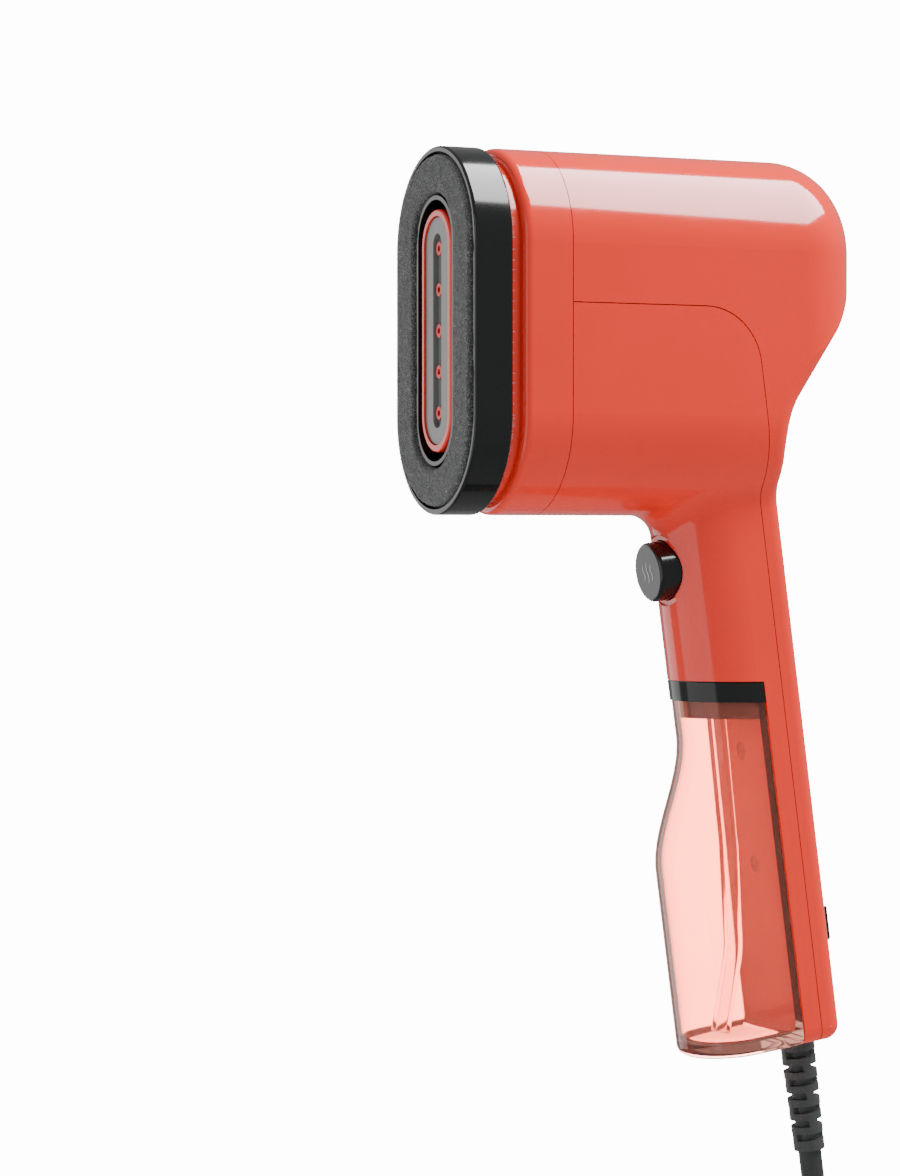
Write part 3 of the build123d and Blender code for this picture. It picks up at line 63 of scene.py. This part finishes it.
# Camera --------------------------------------------------------------------------------------------

DISTANCE = 1.0
AZIMUTH = radians(61.8)
EYE_HEIGHT = 0.030
AIM_RIGHT, AIM_UP = -0.0800, 0.0151
LENS = 103.1
back = Vector((sin(AZIMUTH), -cos(AZIMUTH), 0))
right = Vector((cos(AZIMUTH), sin(AZIMUTH), 0))
camera = bpy.data.objects.new("camera", bpy.data.cameras.new("camera"))
scene.collection.objects.link(camera)
camera.location = back * DISTANCE + Vector((0, 0, EYE_HEIGHT))
aim = right * AIM_RIGHT + Vector((0, 0, AIM_UP))
camera.rotation_euler = (aim - camera.location).to_track_quat("-Z", "Y").to_euler()
camera.data.sensor_width = 36
camera.data.lens = LENS
camera.data.clip_start = 0.05
camera.data.clip_end = 50
scene.camera = camera


# Mesh helpers ---------------------------------------------------------------------------------------

def link(name, data):
    obj = bpy.data.objects.new(name, data)
    scene.collection.objects.link(obj)
    return obj


def mesh_piece(name, bm, smooth=True):
    """Object at the origin made from a bmesh."""
    bmesh.ops.recalc_face_normals(bm, faces=bm.faces)
    mesh = bpy.data.meshes.new(name)
    bm.to_mesh(mesh)
    bm.free()
    for face in mesh.polygons:
        face.use_smooth = smooth
    return link(name, mesh)


def skin(bm, rings, close_ends=False, close_rows=False):
    """Quads between neighbouring closed rings of points."""
    rows = [[bm.verts.new(p) for p in ring] for ring in rings]
    pairs = list(zip(rows, rows[1:] + ([rows[0]] if close_rows else [])))
    for low, high in pairs:
        for k in range(len(low)):
            j = (k + 1) % len(low)
            bm.faces.new((low[k], low[j], high[j], high[k]))
    if close_ends:
        bm.faces.new(rows[0])
        bm.faces.new(rows[-1])
    return rows


def stadium_loop(length, width, y, count=72):
    """Points of an upright stadium on the head's axis, at world y."""
    radius, half = width / 2, (length - width) / 2
    loop = []
    for k in range(count):
        a = 2 * pi * (k + 0.5) / count
        shift = half if sin(a) > 0 else -half
        loop.append(Vector((radius * cos(a), y, HEAD_MID_Z + shift + radius * sin(a))))
    spread = []
    for k in range(count):
        here, after = loop[k], loop[(k + 1) % count]
        spread.append(here)
        if (here.z - HEAD_MID_Z) * (after.z - HEAD_MID_Z) < 0 and half > 0:
            for step in range(1, 17):
                spread.append(here.lerp(after, step / 17))
    return spread


# Node helpers ---------------------------------------------------------------------------------------

def add_node(tree, kind, inputs=None, **settings):
    node = tree.nodes.new(kind)
    for key, value in settings.items():
        setattr(node, key, value)
    for key, value in (inputs or {}).items():
        if isinstance(value, bpy.types.NodeSocket):
            tree.links.new(value, node.inputs[key])
        else:
            node.inputs[key].default_value = value
    return node


def group(name, inputs, outputs):
    """Empty node group with the named sockets; returns it with its two end nodes."""
    tree = bpy.data.node_groups.new(name, "ShaderNodeTree")
    for label, kind in inputs:
        tree.interface.new_socket(label, in_out="INPUT", socket_type=kind)
    for label, kind in outputs:
        tree.interface.new_socket(label, in_out="OUTPUT", socket_type=kind)
    return tree, tree.nodes.new("NodeGroupInput"), tree.nodes.new("NodeGroupOutput")


def noise_at(tree, scale, detail=3.0, rough=0.5, distortion=0.0):
    coords = add_node(tree, "ShaderNodeTexCoord")
    return add_node(tree, "ShaderNodeTexNoise",
                    {"Vector": coords.outputs["Object"], "Scale": scale, "Detail": detail,
                     "Roughness": rough, "Distortion": distortion})


def remap(tree, value, low, high, to_low, to_high):
    return add_node(tree, "ShaderNodeMapRange",
                    {"Value": value, "From Min": low, "From Max": high, "To Min": to_low,
                     "To Max": to_high}).outputs["Result"]


def mix_colors(tree, factor, first, second, blend="MIX"):
    node = add_node(tree, "ShaderNodeMix", data_type="RGBA", blend_type=blend)
    for socket, value in ((0, factor), (6, first), (7, second)):
        if isinstance(value, bpy.types.NodeSocket):
            tree.links.new(value, node.inputs[socket])
        else:
            node.inputs[socket].default_value = value
    return node.outputs[2]


FLOAT, COLOR = "NodeSocketFloat", "NodeSocketColor"

# Handled plastic: a faint drift of tone, a little dust, and a slightly uneven polish.
handled, g_in, g_out = group("handled_surface", (("Color", COLOR), ("Roughness", FLOAT), ("Wear", FLOAT)),
                             (("Color", COLOR), ("Roughness", FLOAT), ("Height", FLOAT)))
drift = noise_at(handled, 24.0, 2.0)
dust = noise_at(handled, 900.0, 4.0, 0.6)
smear = noise_at(handled, 70.0, 5.0, 0.6, 0.4)
tone = remap(handled, drift.outputs["Fac"], 0.3, 0.7, 0.96, 1.03)
toned = add_node(handled, "ShaderNodeHueSaturation",
                 {"Value": tone, "Color": g_in.outputs["Color"]}).outputs["Color"]
handled.links.new(toned, g_out.inputs["Color"])
uneven = add_node(handled, "ShaderNodeMath",
                  {0: remap(handled, smear.outputs["Fac"], 0.4, 0.75, 0.0, 1.0), 1: g_in.outputs["Wear"]},
                  operation="MULTIPLY").outputs[0]
rough = add_node(handled, "ShaderNodeMath", {0: uneven, 1: g_in.outputs["Roughness"]},
                 operation="ADD").outputs[0]
handled.links.new(rough, g_out.inputs["Roughness"])
handled.links.new(dust.outputs["Fac"], g_out.inputs["Height"])

# Felt: pale flecks among matted fibres, painted shade in the low pits of the fibre relief, and a random
# clump tone.
felted, g_in, g_out = group("felt_flecks_pit_shade", (("Color", COLOR), ("Fleck", COLOR)),
                            (("Color", COLOR), ("Height", FLOAT)))
fibres = noise_at(felted, 2600.0, 6.0, 0.75, 0.8)
clumps = noise_at(felted, 420.0, 4.0, 0.6)
flecks = remap(felted, fibres.outputs["Fac"], 0.53, 0.64, 0.0, 1.0)
# Painted shade: darker where the fibre noise that drives the relief is low, in its pits.
pit_shade = remap(felted, fibres.outputs["Fac"], 0.34, 0.48, 0.35, 1.0)
shade = remap(felted, clumps.outputs["Fac"], 0.35, 0.65, 0.82, 1.12)
flecked = mix_colors(felted, flecks, g_in.outputs["Color"], g_in.outputs["Fleck"])
pit_shaded = add_node(felted, "ShaderNodeHueSaturation", {"Value": pit_shade, "Color": flecked}).outputs["Color"]
shaded = add_node(felted, "ShaderNodeHueSaturation", {"Value": shade, "Color": pit_shaded}).outputs["Color"]
felted.links.new(shaded, g_out.inputs["Color"])
felted.links.new(fibres.outputs["Fac"], g_out.inputs["Height"])

# Metal: fine brushed or cast grain and a few stains.
worked, g_in, g_out = group("metal_grain", (("Color", COLOR), ("Roughness", FLOAT), ("Grain", FLOAT)),
                            (("Color", COLOR), ("Roughness", FLOAT), ("Height", FLOAT)))
grain = add_node(worked, "ShaderNodeTexNoise", {"Scale": g_in.outputs["Grain"], "Detail": 5.0})
coords = add_node(worked, "ShaderNodeTexCoord")
worked.links.new(coords.outputs["Object"], grain.inputs["Vector"])
stain = noise_at(worked, 60.0, 4.0)
metal_rough = add_node(worked, "ShaderNodeMath",
                       {0: remap(worked, grain.outputs["Fac"], 0.3, 0.7, -0.06, 0.1),
                        1: g_in.outputs["Roughness"]}, operation="ADD").outputs[0]
metal_tone = remap(worked, stain.outputs["Fac"], 0.35, 0.7, 1.0, 0.82)
stained = add_node(worked, "ShaderNodeHueSaturation",
                   {"Value": metal_tone, "Color": g_in.outputs["Color"]}).outputs["Color"]
worked.links.new(stained, g_out.inputs["Color"])
worked.links.new(metal_rough, g_out.inputs["Roughness"])
worked.links.new(grain.outputs["Fac"], g_out.inputs["Height"])


def material(name, color, rough=0.2, effect=handled, bump=0.02, depth=0.0002, extra=None, **shader):
    """Principled material whose colour, roughness and relief come through a shared effect group."""
    mat = bpy.data.materials.new(name)
    mat.use_nodes = True
    tree = mat.node_tree
    bsdf = tree.nodes["Principled BSDF"]
    node = add_node(tree, "ShaderNodeGroup", node_tree=effect)
    node.inputs["Color"].default_value = (*color, 1)
    if "Roughness" in node.inputs:
        node.inputs["Roughness"].default_value = rough
        tree.links.new(node.outputs["Roughness"], bsdf.inputs["Roughness"])
    else:
        bsdf.inputs["Roughness"].default_value = rough
    for key, value in (extra or {}).items():
        node.inputs[key].default_value = value
    tree.links.new(node.outputs["Color"], bsdf.inputs["Base Color"])
    relief = add_node(tree, "ShaderNodeBump", {"Strength": bump, "Distance": depth,
                                               "Height": node.outputs["Height"]})
    tree.links.new(relief.outputs["Normal"], bsdf.inputs["Normal"])
    for key, value in shader.items():
        bsdf.inputs[key.replace("_", " ")].default_value = value
    return mat


WEAR = {"Wear": 0.04}
CORAL_COLOR = (0.67, 0.027, 0.013)
coral = material("coral_gloss", CORAL_COLOR, 0.10, extra=WEAR, bump=0.01, Coat_Weight=0.4,
                 Coat_Roughness=0.04)
# Darker copy of the coral for the steam nozzles inside the head: the darkening is painted shade.
coral_inner_shaded = material("coral_inner_shaded", (0.58, 0.028, 0.014), 0.35, extra=WEAR)
gloss_black = material("black_gloss", (0.004, 0.005, 0.0045), 0.12, extra=WEAR, bump=0.01, Coat_Weight=0.15,
                       Coat_Roughness=0.03)
plate_grey = material("plate_grey", (0.15, 0.155, 0.15), 0.30, extra=WEAR)
manifold_grey = material("manifold_grey", (0.12, 0.12, 0.12), 0.5, extra=WEAR)
felt_grey = material("felt_grey", (0.022, 0.025, 0.024), 0.95, felted, 0.9, 0.0005,
                     {"Fleck": (0.30, 0.31, 0.30, 1)}, Sheen_Weight=0.25, Sheen_Roughness=0.5)
lint_grey = material("lint_grey", (0.40, 0.40, 0.39), 0.9, felted, 0.5, 0.0003,
                     {"Fleck": (0.6, 0.6, 0.58, 1)})
relief_rubber = material("relief_rubber", (0.034, 0.038, 0.037), 0.42, extra=WEAR, bump=0.06)
cord_rubber = material("cord_rubber", (0.022, 0.024, 0.025), 0.38, extra={"Wear": 0.1}, bump=0.05)
strap_black = material("strap_weave", (0.018, 0.019, 0.02), 0.9, felted, 0.9, 0.0004,
                       {"Fleck": (0.05, 0.05, 0.052, 1)})
plug_rubber = material("plug_rubber", (0.024, 0.026, 0.026), 0.34, extra={"Wear": 0.08}, bump=0.05)
silicone_red = material("silicone_red", (0.42, 0.05, 0.035), 0.45, extra=WEAR)
hose_milk = material("hose_milk", (0.68, 0.67, 0.62), 0.35, extra=WEAR, Transmission_Weight=0.3)
nylon = material("nylon_natural", (0.72, 0.70, 0.64), 0.4, extra=WEAR)
part_black = material("component_black", (0.02, 0.02, 0.022), 0.45, extra=WEAR)
board_green = material("board_lacquer", (0.02, 0.13, 0.05), 0.3, extra=WEAR)
wire_blue = material("wire_blue", (0.04, 0.10, 0.45), 0.35, extra=WEAR)
cast_alu = material("cast_alu", (0.58, 0.58, 0.58), 0.45, worked, 0.3, 0.0003, {"Grain": 500.0},
                    Metallic=1.0)
steel = material("plated_steel", (0.60, 0.60, 0.59), 0.25, worked, 0.1, 0.0002, {"Grain": 1500.0},
                 Metallic=1.0)
spring_wire = material("spring_wire", (0.50, 0.50, 0.50), 0.3, worked, 0.1, 0.0001, {"Grain": 2500.0},
                       Metallic=1.0)
brass = material("turned_brass", (0.75, 0.52, 0.22), 0.28, worked, 0.1, 0.0002, {"Grain": 1800.0},
                 Metallic=1.0)
nickel = material("nickel_pins", (0.72, 0.70, 0.66), 0.2, worked, 0.05, 0.0001, {"Grain": 2200.0},
                  Metallic=1.0)
copper = material("winding_copper", (0.50, 0.17, 0.07), 0.3, worked, 0.4, 0.0004, {"Grain": 1200.0},
                  Metallic=1.0)
mark_pale = material("mark_pale", (0.30, 0.31, 0.30), 0.5, extra=WEAR)
tank_clear = material("tank_tint", (0.93, 0.38, 0.29), 0.07, extra={"Wear": 0.02}, bump=0.01,
                      Transmission_Weight=0.95, IOR=1.25, Coat_Weight=0.5, Coat_Roughness=0.05)
tube_clear = material("tube_clear", (0.98, 0.92, 0.90), 0.20, extra=WEAR, bump=0.01,
                      Transmission_Weight=0.97, IOR=1.06)

FINISH = {
    coral: ("front_housing", "rear_cover", "front_bezel", "nozzle_ring"),
    coral_inner_shaded: ("steam_nozzles",),
    gloss_black: ("pad_frame", "steam_button", "tank_collar", "power_button"),
    plate_grey: ("steam_plate",),
    manifold_grey: ("nozzle_manifold",),
    relief_rubber: ("strain_relief",),
    cord_rubber: ("mains_lead",),
    silicone_red: ("manifold_gasket", "chamber_gasket", "neck_seal", "pump_mounts"),
    hose_milk: ("suction_hose", "delivery_hose"),
    tube_clear: ("tank_tube",),
    nylon: ("button_guide", "cord_clamp", "inner_frame", "pump_tube", "switch_plunger", "tank_socket",
            "tank_valve", "terminal_block", "thermal_fuse"),
    part_black: ("board_parts", "power_switch", "thermostat", "trigger_switch"),
    board_green: ("control_board",),
    wire_blue: ("core_wires",),
    cast_alu: ("steam_chamber", "chamber_cover"),
    steel: ("chamber_screws", "clamp_screws", "heating_element", "housing_screws", "pad_latches",
            "pump_piston", "pump_yoke"),
    spring_wire: ("button_spring", "piston_spring", "valve_spring"),
    brass: ("water_inlet",),
    nickel: ("plug_pins",),
    copper: ("pump_coil",),
    tank_clear: ("tank_shell",),
}
for mat, names in FINISH.items():
    for name in names:
        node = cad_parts[name]
        node.data.materials.clear()
        node.data.materials.append(mat)


def finish_piece(obj, mat, body, slot, *nodes):
    """Material, body and the CAD nodes that a new piece stands for; the slot argument is not used."""
    if mat.name not in [m.name for m in obj.data.materials]:
        obj.data.materials.append(mat)
    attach(obj, body)
    if nodes:
        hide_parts(*nodes)
    return obj


# Cord: down from the strain relief into the hank, six turns, and out to the plug ---------------------

CORD_DIAMETER = 0.007
HANK_MID = Vector((0, 0.034, -0.2665))
HANK_HALF_STRAIGHT = 0.030
OUTER, INNER = 0.028, 0.021
LAYERS = (0.041, 0.034, 0.027)
ARC_SWELL = 1.015                       # the line runs inside its control points
TURNS = ((OUTER, LAYERS[0]), (INNER, LAYERS[0]), (INNER, LAYERS[1]), (OUTER, LAYERS[1]),
         (OUTER, LAYERS[2]), (INNER, LAYERS[2]))
RELIEF_TIP = handle_point(0, 0.010, -0.156)
top_z, low_z = HANK_MID.z + HANK_HALF_STRAIGHT, HANK_MID.z - HANK_HALF_STRAIGHT
route = [RELIEF_TIP, handle_point(0, 0.010, -0.166), handle_point(0, 0.010, -0.175),
         Vector((0.005, 0.036, -0.188)), Vector((0.015, 0.0388, -0.202)), Vector((0.022, 0.0395, -0.2165)),
         Vector((0.0255, 0.0402, -0.230))]
for turn, (radius, y) in enumerate(TURNS):
    after_radius, after_y = TURNS[min(turn + 1, len(TURNS) - 1)]
    for share in (0.25, 0.5, 0.75, 1.0):
        route.append(Vector((radius, y, top_z + (low_z - top_z) * share)))
    for k in range(1, 8):
        a = -pi * k / 8
        route.append(Vector((radius * ARC_SWELL * cos(a), y, low_z + radius * ARC_SWELL * sin(a))))
    route += [Vector((-radius, y, low_z)), Vector((-radius, y, HANK_MID.z - 0.009)),
              Vector((-after_radius, after_y, HANK_MID.z + 0.009)), Vector((-after_radius, after_y, top_z))]
    for k in range(1, 8 if turn < len(TURNS) - 1 else 6):
        a = pi - pi * k / 8
        route.append(Vector((after_radius * ARC_SWELL * cos(a), after_y,
                             top_z + after_radius * ARC_SWELL * sin(a))))
    if turn < len(TURNS) - 1:
        route.append(Vector((after_radius, after_y, top_z)))
route += [Vector((0.0195, 0.0265, -0.2285)), Vector((0.0200, 0.0235, -0.2400)),
          Vector((0.0172, 0.0165, -0.2520)), Vector((0.0135, 0.0125, -0.2640)),
          Vector((0.0120, 0.0120, -0.2710)), Vector((0.0120, 0.0120, -0.2790))]
WOBBLE = 0.00025
for point in route[8:-6]:
    point += Vector((rng.uniform(-1, 1), rng.uniform(-1, 1), rng.uniform(-1, 1))) * WOBBLE

line = bpy.data.curves.new("cord_line", "CURVE")
line.dimensions = "3D"
line.resolution_u = 6
line.bevel_depth = CORD_DIAMETER / 2
line.bevel_resolution = 3
line.use_fill_caps = True
spline = line.splines.new("NURBS")
spline.points.add(len(route) - 1)
for slot_point, point in zip(spline.points, route):
    slot_point.co = (*point, 1)
spline.order_u = 3
spline.use_endpoint_u = True
cord = link("mains_cord", line)
finish_piece(cord, cord_rubber, "housing", "cord_jacket", "power_cord", "cord_hank")

# Tie: a woven strap round the middle of the hank, its end laid over itself.
TIE_HALF = 0.007                        # half of the strap's height
TIE_HALF_WIDTH, TIE_HALF_DEPTH = 0.0318, 0.0108
TIE_CORNER = 0.0045
TAB_START, TAB_LENGTH, TAB_THICK = -0.016, 0.034, 0.0013


def strap_ring(clear, z):
    """Rounded rectangle round the hank at height z."""
    points = []
    for cx, cy, start in ((1, 1, 0), (-1, 1, 1), (-1, -1, 2), (1, -1, 3)):
        for k in range(7):
            a = (start + k / 6) * pi / 2
            x = cx * (TIE_HALF_WIDTH - TIE_CORNER) + (TIE_CORNER + clear) * cos(a)
            y = HANK_MID.y + cy * (TIE_HALF_DEPTH - TIE_CORNER) + (TIE_CORNER + clear) * sin(a)
            points.append(Vector((x, y, z)))
    return points


bm = bmesh.new()
profile = [(0.0002, -TIE_HALF), (0.0014, -TIE_HALF + 0.0002), (0.0016, -TIE_HALF + 0.0012),
           (0.0016, TIE_HALF - 0.0012), (0.0014, TIE_HALF - 0.0002), (0.0002, TIE_HALF)]
skin(bm, [strap_ring(clear, HANK_MID.z + up) for clear, up in profile], close_rows=True)
tab_rows = []
for k in range(15):
    x = TAB_START + TAB_LENGTH * k / 14
    half = TIE_HALF - 0.0008 if k < 12 else TIE_HALF - 0.0008 - 0.0022 * ((k - 11) / 3) ** 2
    lift = 0.0002 + (0.0018 * max(0.0, (k - 9) / 5) ** 2)
    front = HANK_MID.y - TIE_HALF_DEPTH - 0.0017 - lift
    tab_rows.append([Vector((x, front, HANK_MID.z - half)), Vector((x, front, HANK_MID.z + half)),
                     Vector((x, front - TAB_THICK, HANK_MID.z + half)),
                     Vector((x, front - TAB_THICK, HANK_MID.z - half))])
skin(bm, tab_rows, close_ends=True)
tie = mesh_piece("cord_strap", bm)
finish_piece(tie, strap_black, "housing", "strap_fabric", "cord_tie")

# Plug: moulded body with a ribbed neck.
PLUG_AXIS = Vector((0.012, 0.012, 0))
PLUG_TOP, PLUG_FACE = -0.277, -0.311


def plug_ring(half_x, half_y, z, power=3.2, count=48):
    ring = []
    for k in range(count):
        a = 2 * pi * k / count
        c, s = cos(a), sin(a)
        ring.append(PLUG_AXIS + Vector((math.copysign(abs(c) ** (2 / power), c) * half_x,
                                        math.copysign(abs(s) ** (2 / power), s) * half_y, z)))
    return ring


bm = bmesh.new()
rings = []
for k in range(5):
    z = PLUG_TOP - 0.0022 * k
    rings += [plug_ring(0.0046 + 0.0003 * k, 0.0046 + 0.0003 * k, z - 0.0001, 2.0),
              plug_ring(0.0055 + 0.0003 * k, 0.0055 + 0.0003 * k, z - 0.0004, 2.0),
              plug_ring(0.0055 + 0.0003 * k, 0.0055 + 0.0003 * k, z - 0.0014, 2.0),
              plug_ring(0.0046 + 0.0003 * k, 0.0046 + 0.0003 * k, z - 0.0017, 2.0)]
for share, half_x, half_y, power in ((0.33, 0.0078, 0.0068, 2.2), (0.42, 0.0098, 0.0075, 2.6),
                                     (0.55, 0.0125, 0.0078, 3.0), (0.68, 0.0150, 0.0081, 3.4),
                                     (0.76, 0.0168, 0.0084, 3.8), (0.80, 0.0173, 0.0085, 4.0),
                                     (0.965, 0.0174, 0.0085, 4.0), (0.99, 0.0171, 0.0082, 4.0),
                                     (1.0, 0.0164, 0.0075, 4.0)):
    rings.append(plug_ring(half_x, half_y, PLUG_TOP + (PLUG_FACE - PLUG_TOP) * share, power))
skin(bm, rings, close_ends=True)
plug = mesh_piece("plug_moulding", bm)
finish_piece(plug, plug_rubber, "housing", "dark_rubber", "plug_body")


# Felt ring --------------------------------------------------------------------------------------------

def box_of(node):
    low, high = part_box(node)
    return Vector(low), Vector(high)


def soft_noise(point, scale, size):
    return noise.noise(point * scale) * size


felt_low, felt_high = box_of("felt_pad")
felt_length, felt_width = felt_high.z - felt_low.z, felt_high.x - felt_low.x
FELT_HOLE = (0.0785, 0.028)
FELT_ROUND = 0.0016
felt_front, felt_back = felt_low.y, felt_high.y


def felt_ring(share, y, grow=0.0):
    """Loop between the felt's inner (0) and outer (1) outlines."""
    inner = stadium_loop(FELT_HOLE[0] - 2 * grow, FELT_HOLE[1] - 2 * grow, y, 144)
    outer = stadium_loop(felt_length + 2 * grow, felt_width + 2 * grow, y, 144)
    return [a.lerp(b, share) for a, b in zip(inner, outer)]


bm = bmesh.new()
width = (felt_width - FELT_HOLE[1]) / 2
rows = [(0.0, felt_back, 0), (0.0, felt_front + FELT_ROUND + 0.001, 0)]
for k in range(6):
    a = pi / 2 * k / 5
    rows.append((FELT_ROUND / width * (1 - cos(a)), felt_front + FELT_ROUND * (1 - sin(a)), 1))
for k in range(1, 16):
    rows.append((FELT_ROUND / width + (1 - 2 * FELT_ROUND / width) * k / 16, felt_front, 1))
for k in range(6):
    a = pi / 2 * (1 - k / 5)
    rows.append((1 - FELT_ROUND / width * (1 - cos(a)), felt_front + FELT_ROUND * (1 - sin(a)), 1))
rows += [(1.0, felt_front + FELT_ROUND + 0.001, 0), (1.0, felt_back, 0)]
rings = []
for share, y, open_face in rows:
    ring = felt_ring(share, y)
    if open_face:
        for point in ring:
            point.y += soft_noise(point, 900, 0.00022) + soft_noise(point, 260, 0.00025)
            point.x += soft_noise(point + Vector((3, 0, 0)), 1100, 0.00018)
            point.z += soft_noise(point + Vector((0, 5, 0)), 1100, 0.00018)
    rings.append(ring)
skin(bm, rings, close_rows=True)
felt = mesh_piece("felt_ring", bm)
finish_piece(felt, felt_grey, "pad", "felt", "felt_pad")

# Lint brush behind the ring: a low backing with short slanted pile.
lint_low, lint_high = box_of("lint_pad")
lint_length, lint_width = lint_high.z - lint_low.z, lint_high.x - lint_low.x
PILE_BASE = lint_high.y - 0.0012
bm = bmesh.new()
rings = [stadium_loop(FELT_HOLE[0], FELT_HOLE[1], y) for y in (lint_low.y, PILE_BASE)]
rings += [stadium_loop(lint_length, lint_width, y) for y in (PILE_BASE, lint_low.y)]
skin(bm, rings, close_rows=True)
inner_loop = stadium_loop(FELT_HOLE[0] + 0.001, FELT_HOLE[1] + 0.001, PILE_BASE, 288)
outer_loop = stadium_loop(lint_length - 0.0004, lint_width - 0.0004, PILE_BASE, 288)
PILE_ROWS = 34
for row in range(PILE_ROWS):
    for a, b in zip(inner_loop, outer_loop):
        share = 1 - ((row + rng.random()) / PILE_ROWS) ** 1.2
        root = a.lerp(b, share)
        out = (b - a).normalized()
        if rng.random() < 0.25:
            continue
        tip = root + Vector((0, rng.uniform(0.0012, 0.0021), 0)) + out * rng.uniform(-0.0002, 0.0005)
        tip += Vector((rng.uniform(-1, 1), 0, rng.uniform(-1, 1))) * 0.0003
        side = Vector((-out.z, 0, out.x)) * 0.00009
        verts = [bm.verts.new(p) for p in (root - side, root + side, root + out * 0.00015, tip)]
        for i, j in ((0, 1), (1, 2), (2, 0)):
            bm.faces.new((verts[i], verts[j], verts[3]))
lint = mesh_piece("lint_pile", bm)
finish_piece(lint, lint_grey, "pad", "lint", "lint_pad")


# Mark on the steam button: three short plumes, moulded a hair proud --------------------------------------

FACE_UP = Vector((0, -LEAN_SIN, LEAN_COS))
FACE_OUT = Vector((0, -LEAN_COS, -LEAN_SIN))
FACE_MID = handle_point(0, -BUTTON_FACE, BUTTON_UP)
bm = bmesh.new()
for offset, length in ((-0.0024, 0.0050), (0.0, 0.0066), (0.0024, 0.0050)):
    left, right_side = [], []
    for k in range(15):
        t = k / 14
        sway = 0.00055 * sin(2 * pi * t)
        half = 0.00034 * (0.35 + 0.65 * sin(pi * t) ** 0.5)
        middle = Vector((offset + sway, 0, 0)) + FACE_UP * (length * (t - 0.5))
        left.append(FACE_MID + middle - Vector((half, 0, 0)))
        right_side.append(FACE_MID + middle + Vector((half, 0, 0)))
    outline = left + right_side[::-1]
    skin(bm, [[p - FACE_OUT * 0.00005 for p in outline], [p + FACE_OUT * 0.00008 for p in outline]],
         close_ends=True)
mark = mesh_piece("button_mark", bm, smooth=False)
finish_piece(mark, mark_pale, "steam_button", "grey_plastic")


# Floor, world and lights ---------------------------------------------------------------------------------

FLOOR_RADIUS = 0.62
FLOOR_Z = -0.332
bm = bmesh.new()
bmesh.ops.create_circle(bm, cap_ends=True, segments=96, radius=FLOOR_RADIUS)
floor = mesh_piece("floor", bm)
floor.location.z = FLOOR_Z
floor_mat = bpy.data.materials.new("floor_pale")
floor_mat.use_nodes = True
tree = floor_mat.node_tree
tree.nodes["Principled BSDF"].inputs["Roughness"].default_value = 0.9
cloud = noise_at(tree, 2.0, 2.0)
pale = mix_colors(tree, cloud.outputs["Fac"], (0.90, 0.90, 0.90, 1), (0.93, 0.93, 0.93, 1))
# Polished faces see a dark floor, so that their undersides keep their own colour.
floor_rays = add_node(tree, "ShaderNodeLightPath")
tree.links.new(mix_colors(tree, floor_rays.outputs["Is Glossy Ray"], pale, (0.10, 0.10, 0.10, 1)),
               tree.nodes["Principled BSDF"].inputs["Base Color"])
floor.data.materials.append(floor_mat)

# The surround is white where it is looked at, straight or through the tank, and lights gently. Polished
# faces see it dimmer. Light that reaches a surface through the tank is stronger, since area lights don't
# pass through a clear solid here.
FILL, MIRRORED, BEHIND_TANK, WHITE = 0.68, 0.32, 7.0, 14.0
world = bpy.data.worlds.new("studio")
world.use_nodes = True
sky = world.node_tree
rays = add_node(sky, "ShaderNodeLightPath")
soft = remap(sky, rays.outputs["Is Glossy Ray"], 0.0, 1.0, FILL, MIRRORED)
behind = remap(sky, rays.outputs["Diffuse Depth"], 0.0, 1.0, WHITE, BEHIND_TANK)
through = remap(sky, rays.outputs["Glossy Depth"], 0.0, 1.0, behind, MIRRORED)
seen = add_node(sky, "ShaderNodeMix", {0: rays.outputs["Is Transmission Ray"], 2: soft,
                                       3: through}).outputs[0]
strength = add_node(sky, "ShaderNodeMix", {0: rays.outputs["Is Camera Ray"], 2: seen, 3: WHITE}).outputs[0]
sky.links.new(strength, sky.nodes["Background"].inputs["Strength"])
sky.nodes["Background"].inputs["Color"].default_value = (1, 1, 1, 1)
scene.world = world


def soft_light(name, place, target, size_x, size_y, power):
    light = bpy.data.lights.new(name, "AREA")
    light.shape = "RECTANGLE"
    light.size, light.size_y, light.energy = size_x, size_y, power
    obj = link(name, light)
    obj.location = place
    obj.rotation_euler = (Vector(target) - obj.location).to_track_quat("-Z", "Y").to_euler()
    return obj


HEAD = Vector((0, -0.02, 0.115))
soft_light("overhead", HEAD + Vector((0.24, 0.45, 0.80)), HEAD, size_x=0.80, size_y=0.86, power=38.0)
soft_light("front_left", Vector((-0.81, -0.40, 0.0)), (0, -0.03, 0.03),
           size_x=0.55, size_y=0.9, power=2.0)
soft_light("front", Vector((0.10, -1.08, 0.0)), (0, 0, 0), size_x=1.3, size_y=1.1, power=4.0)
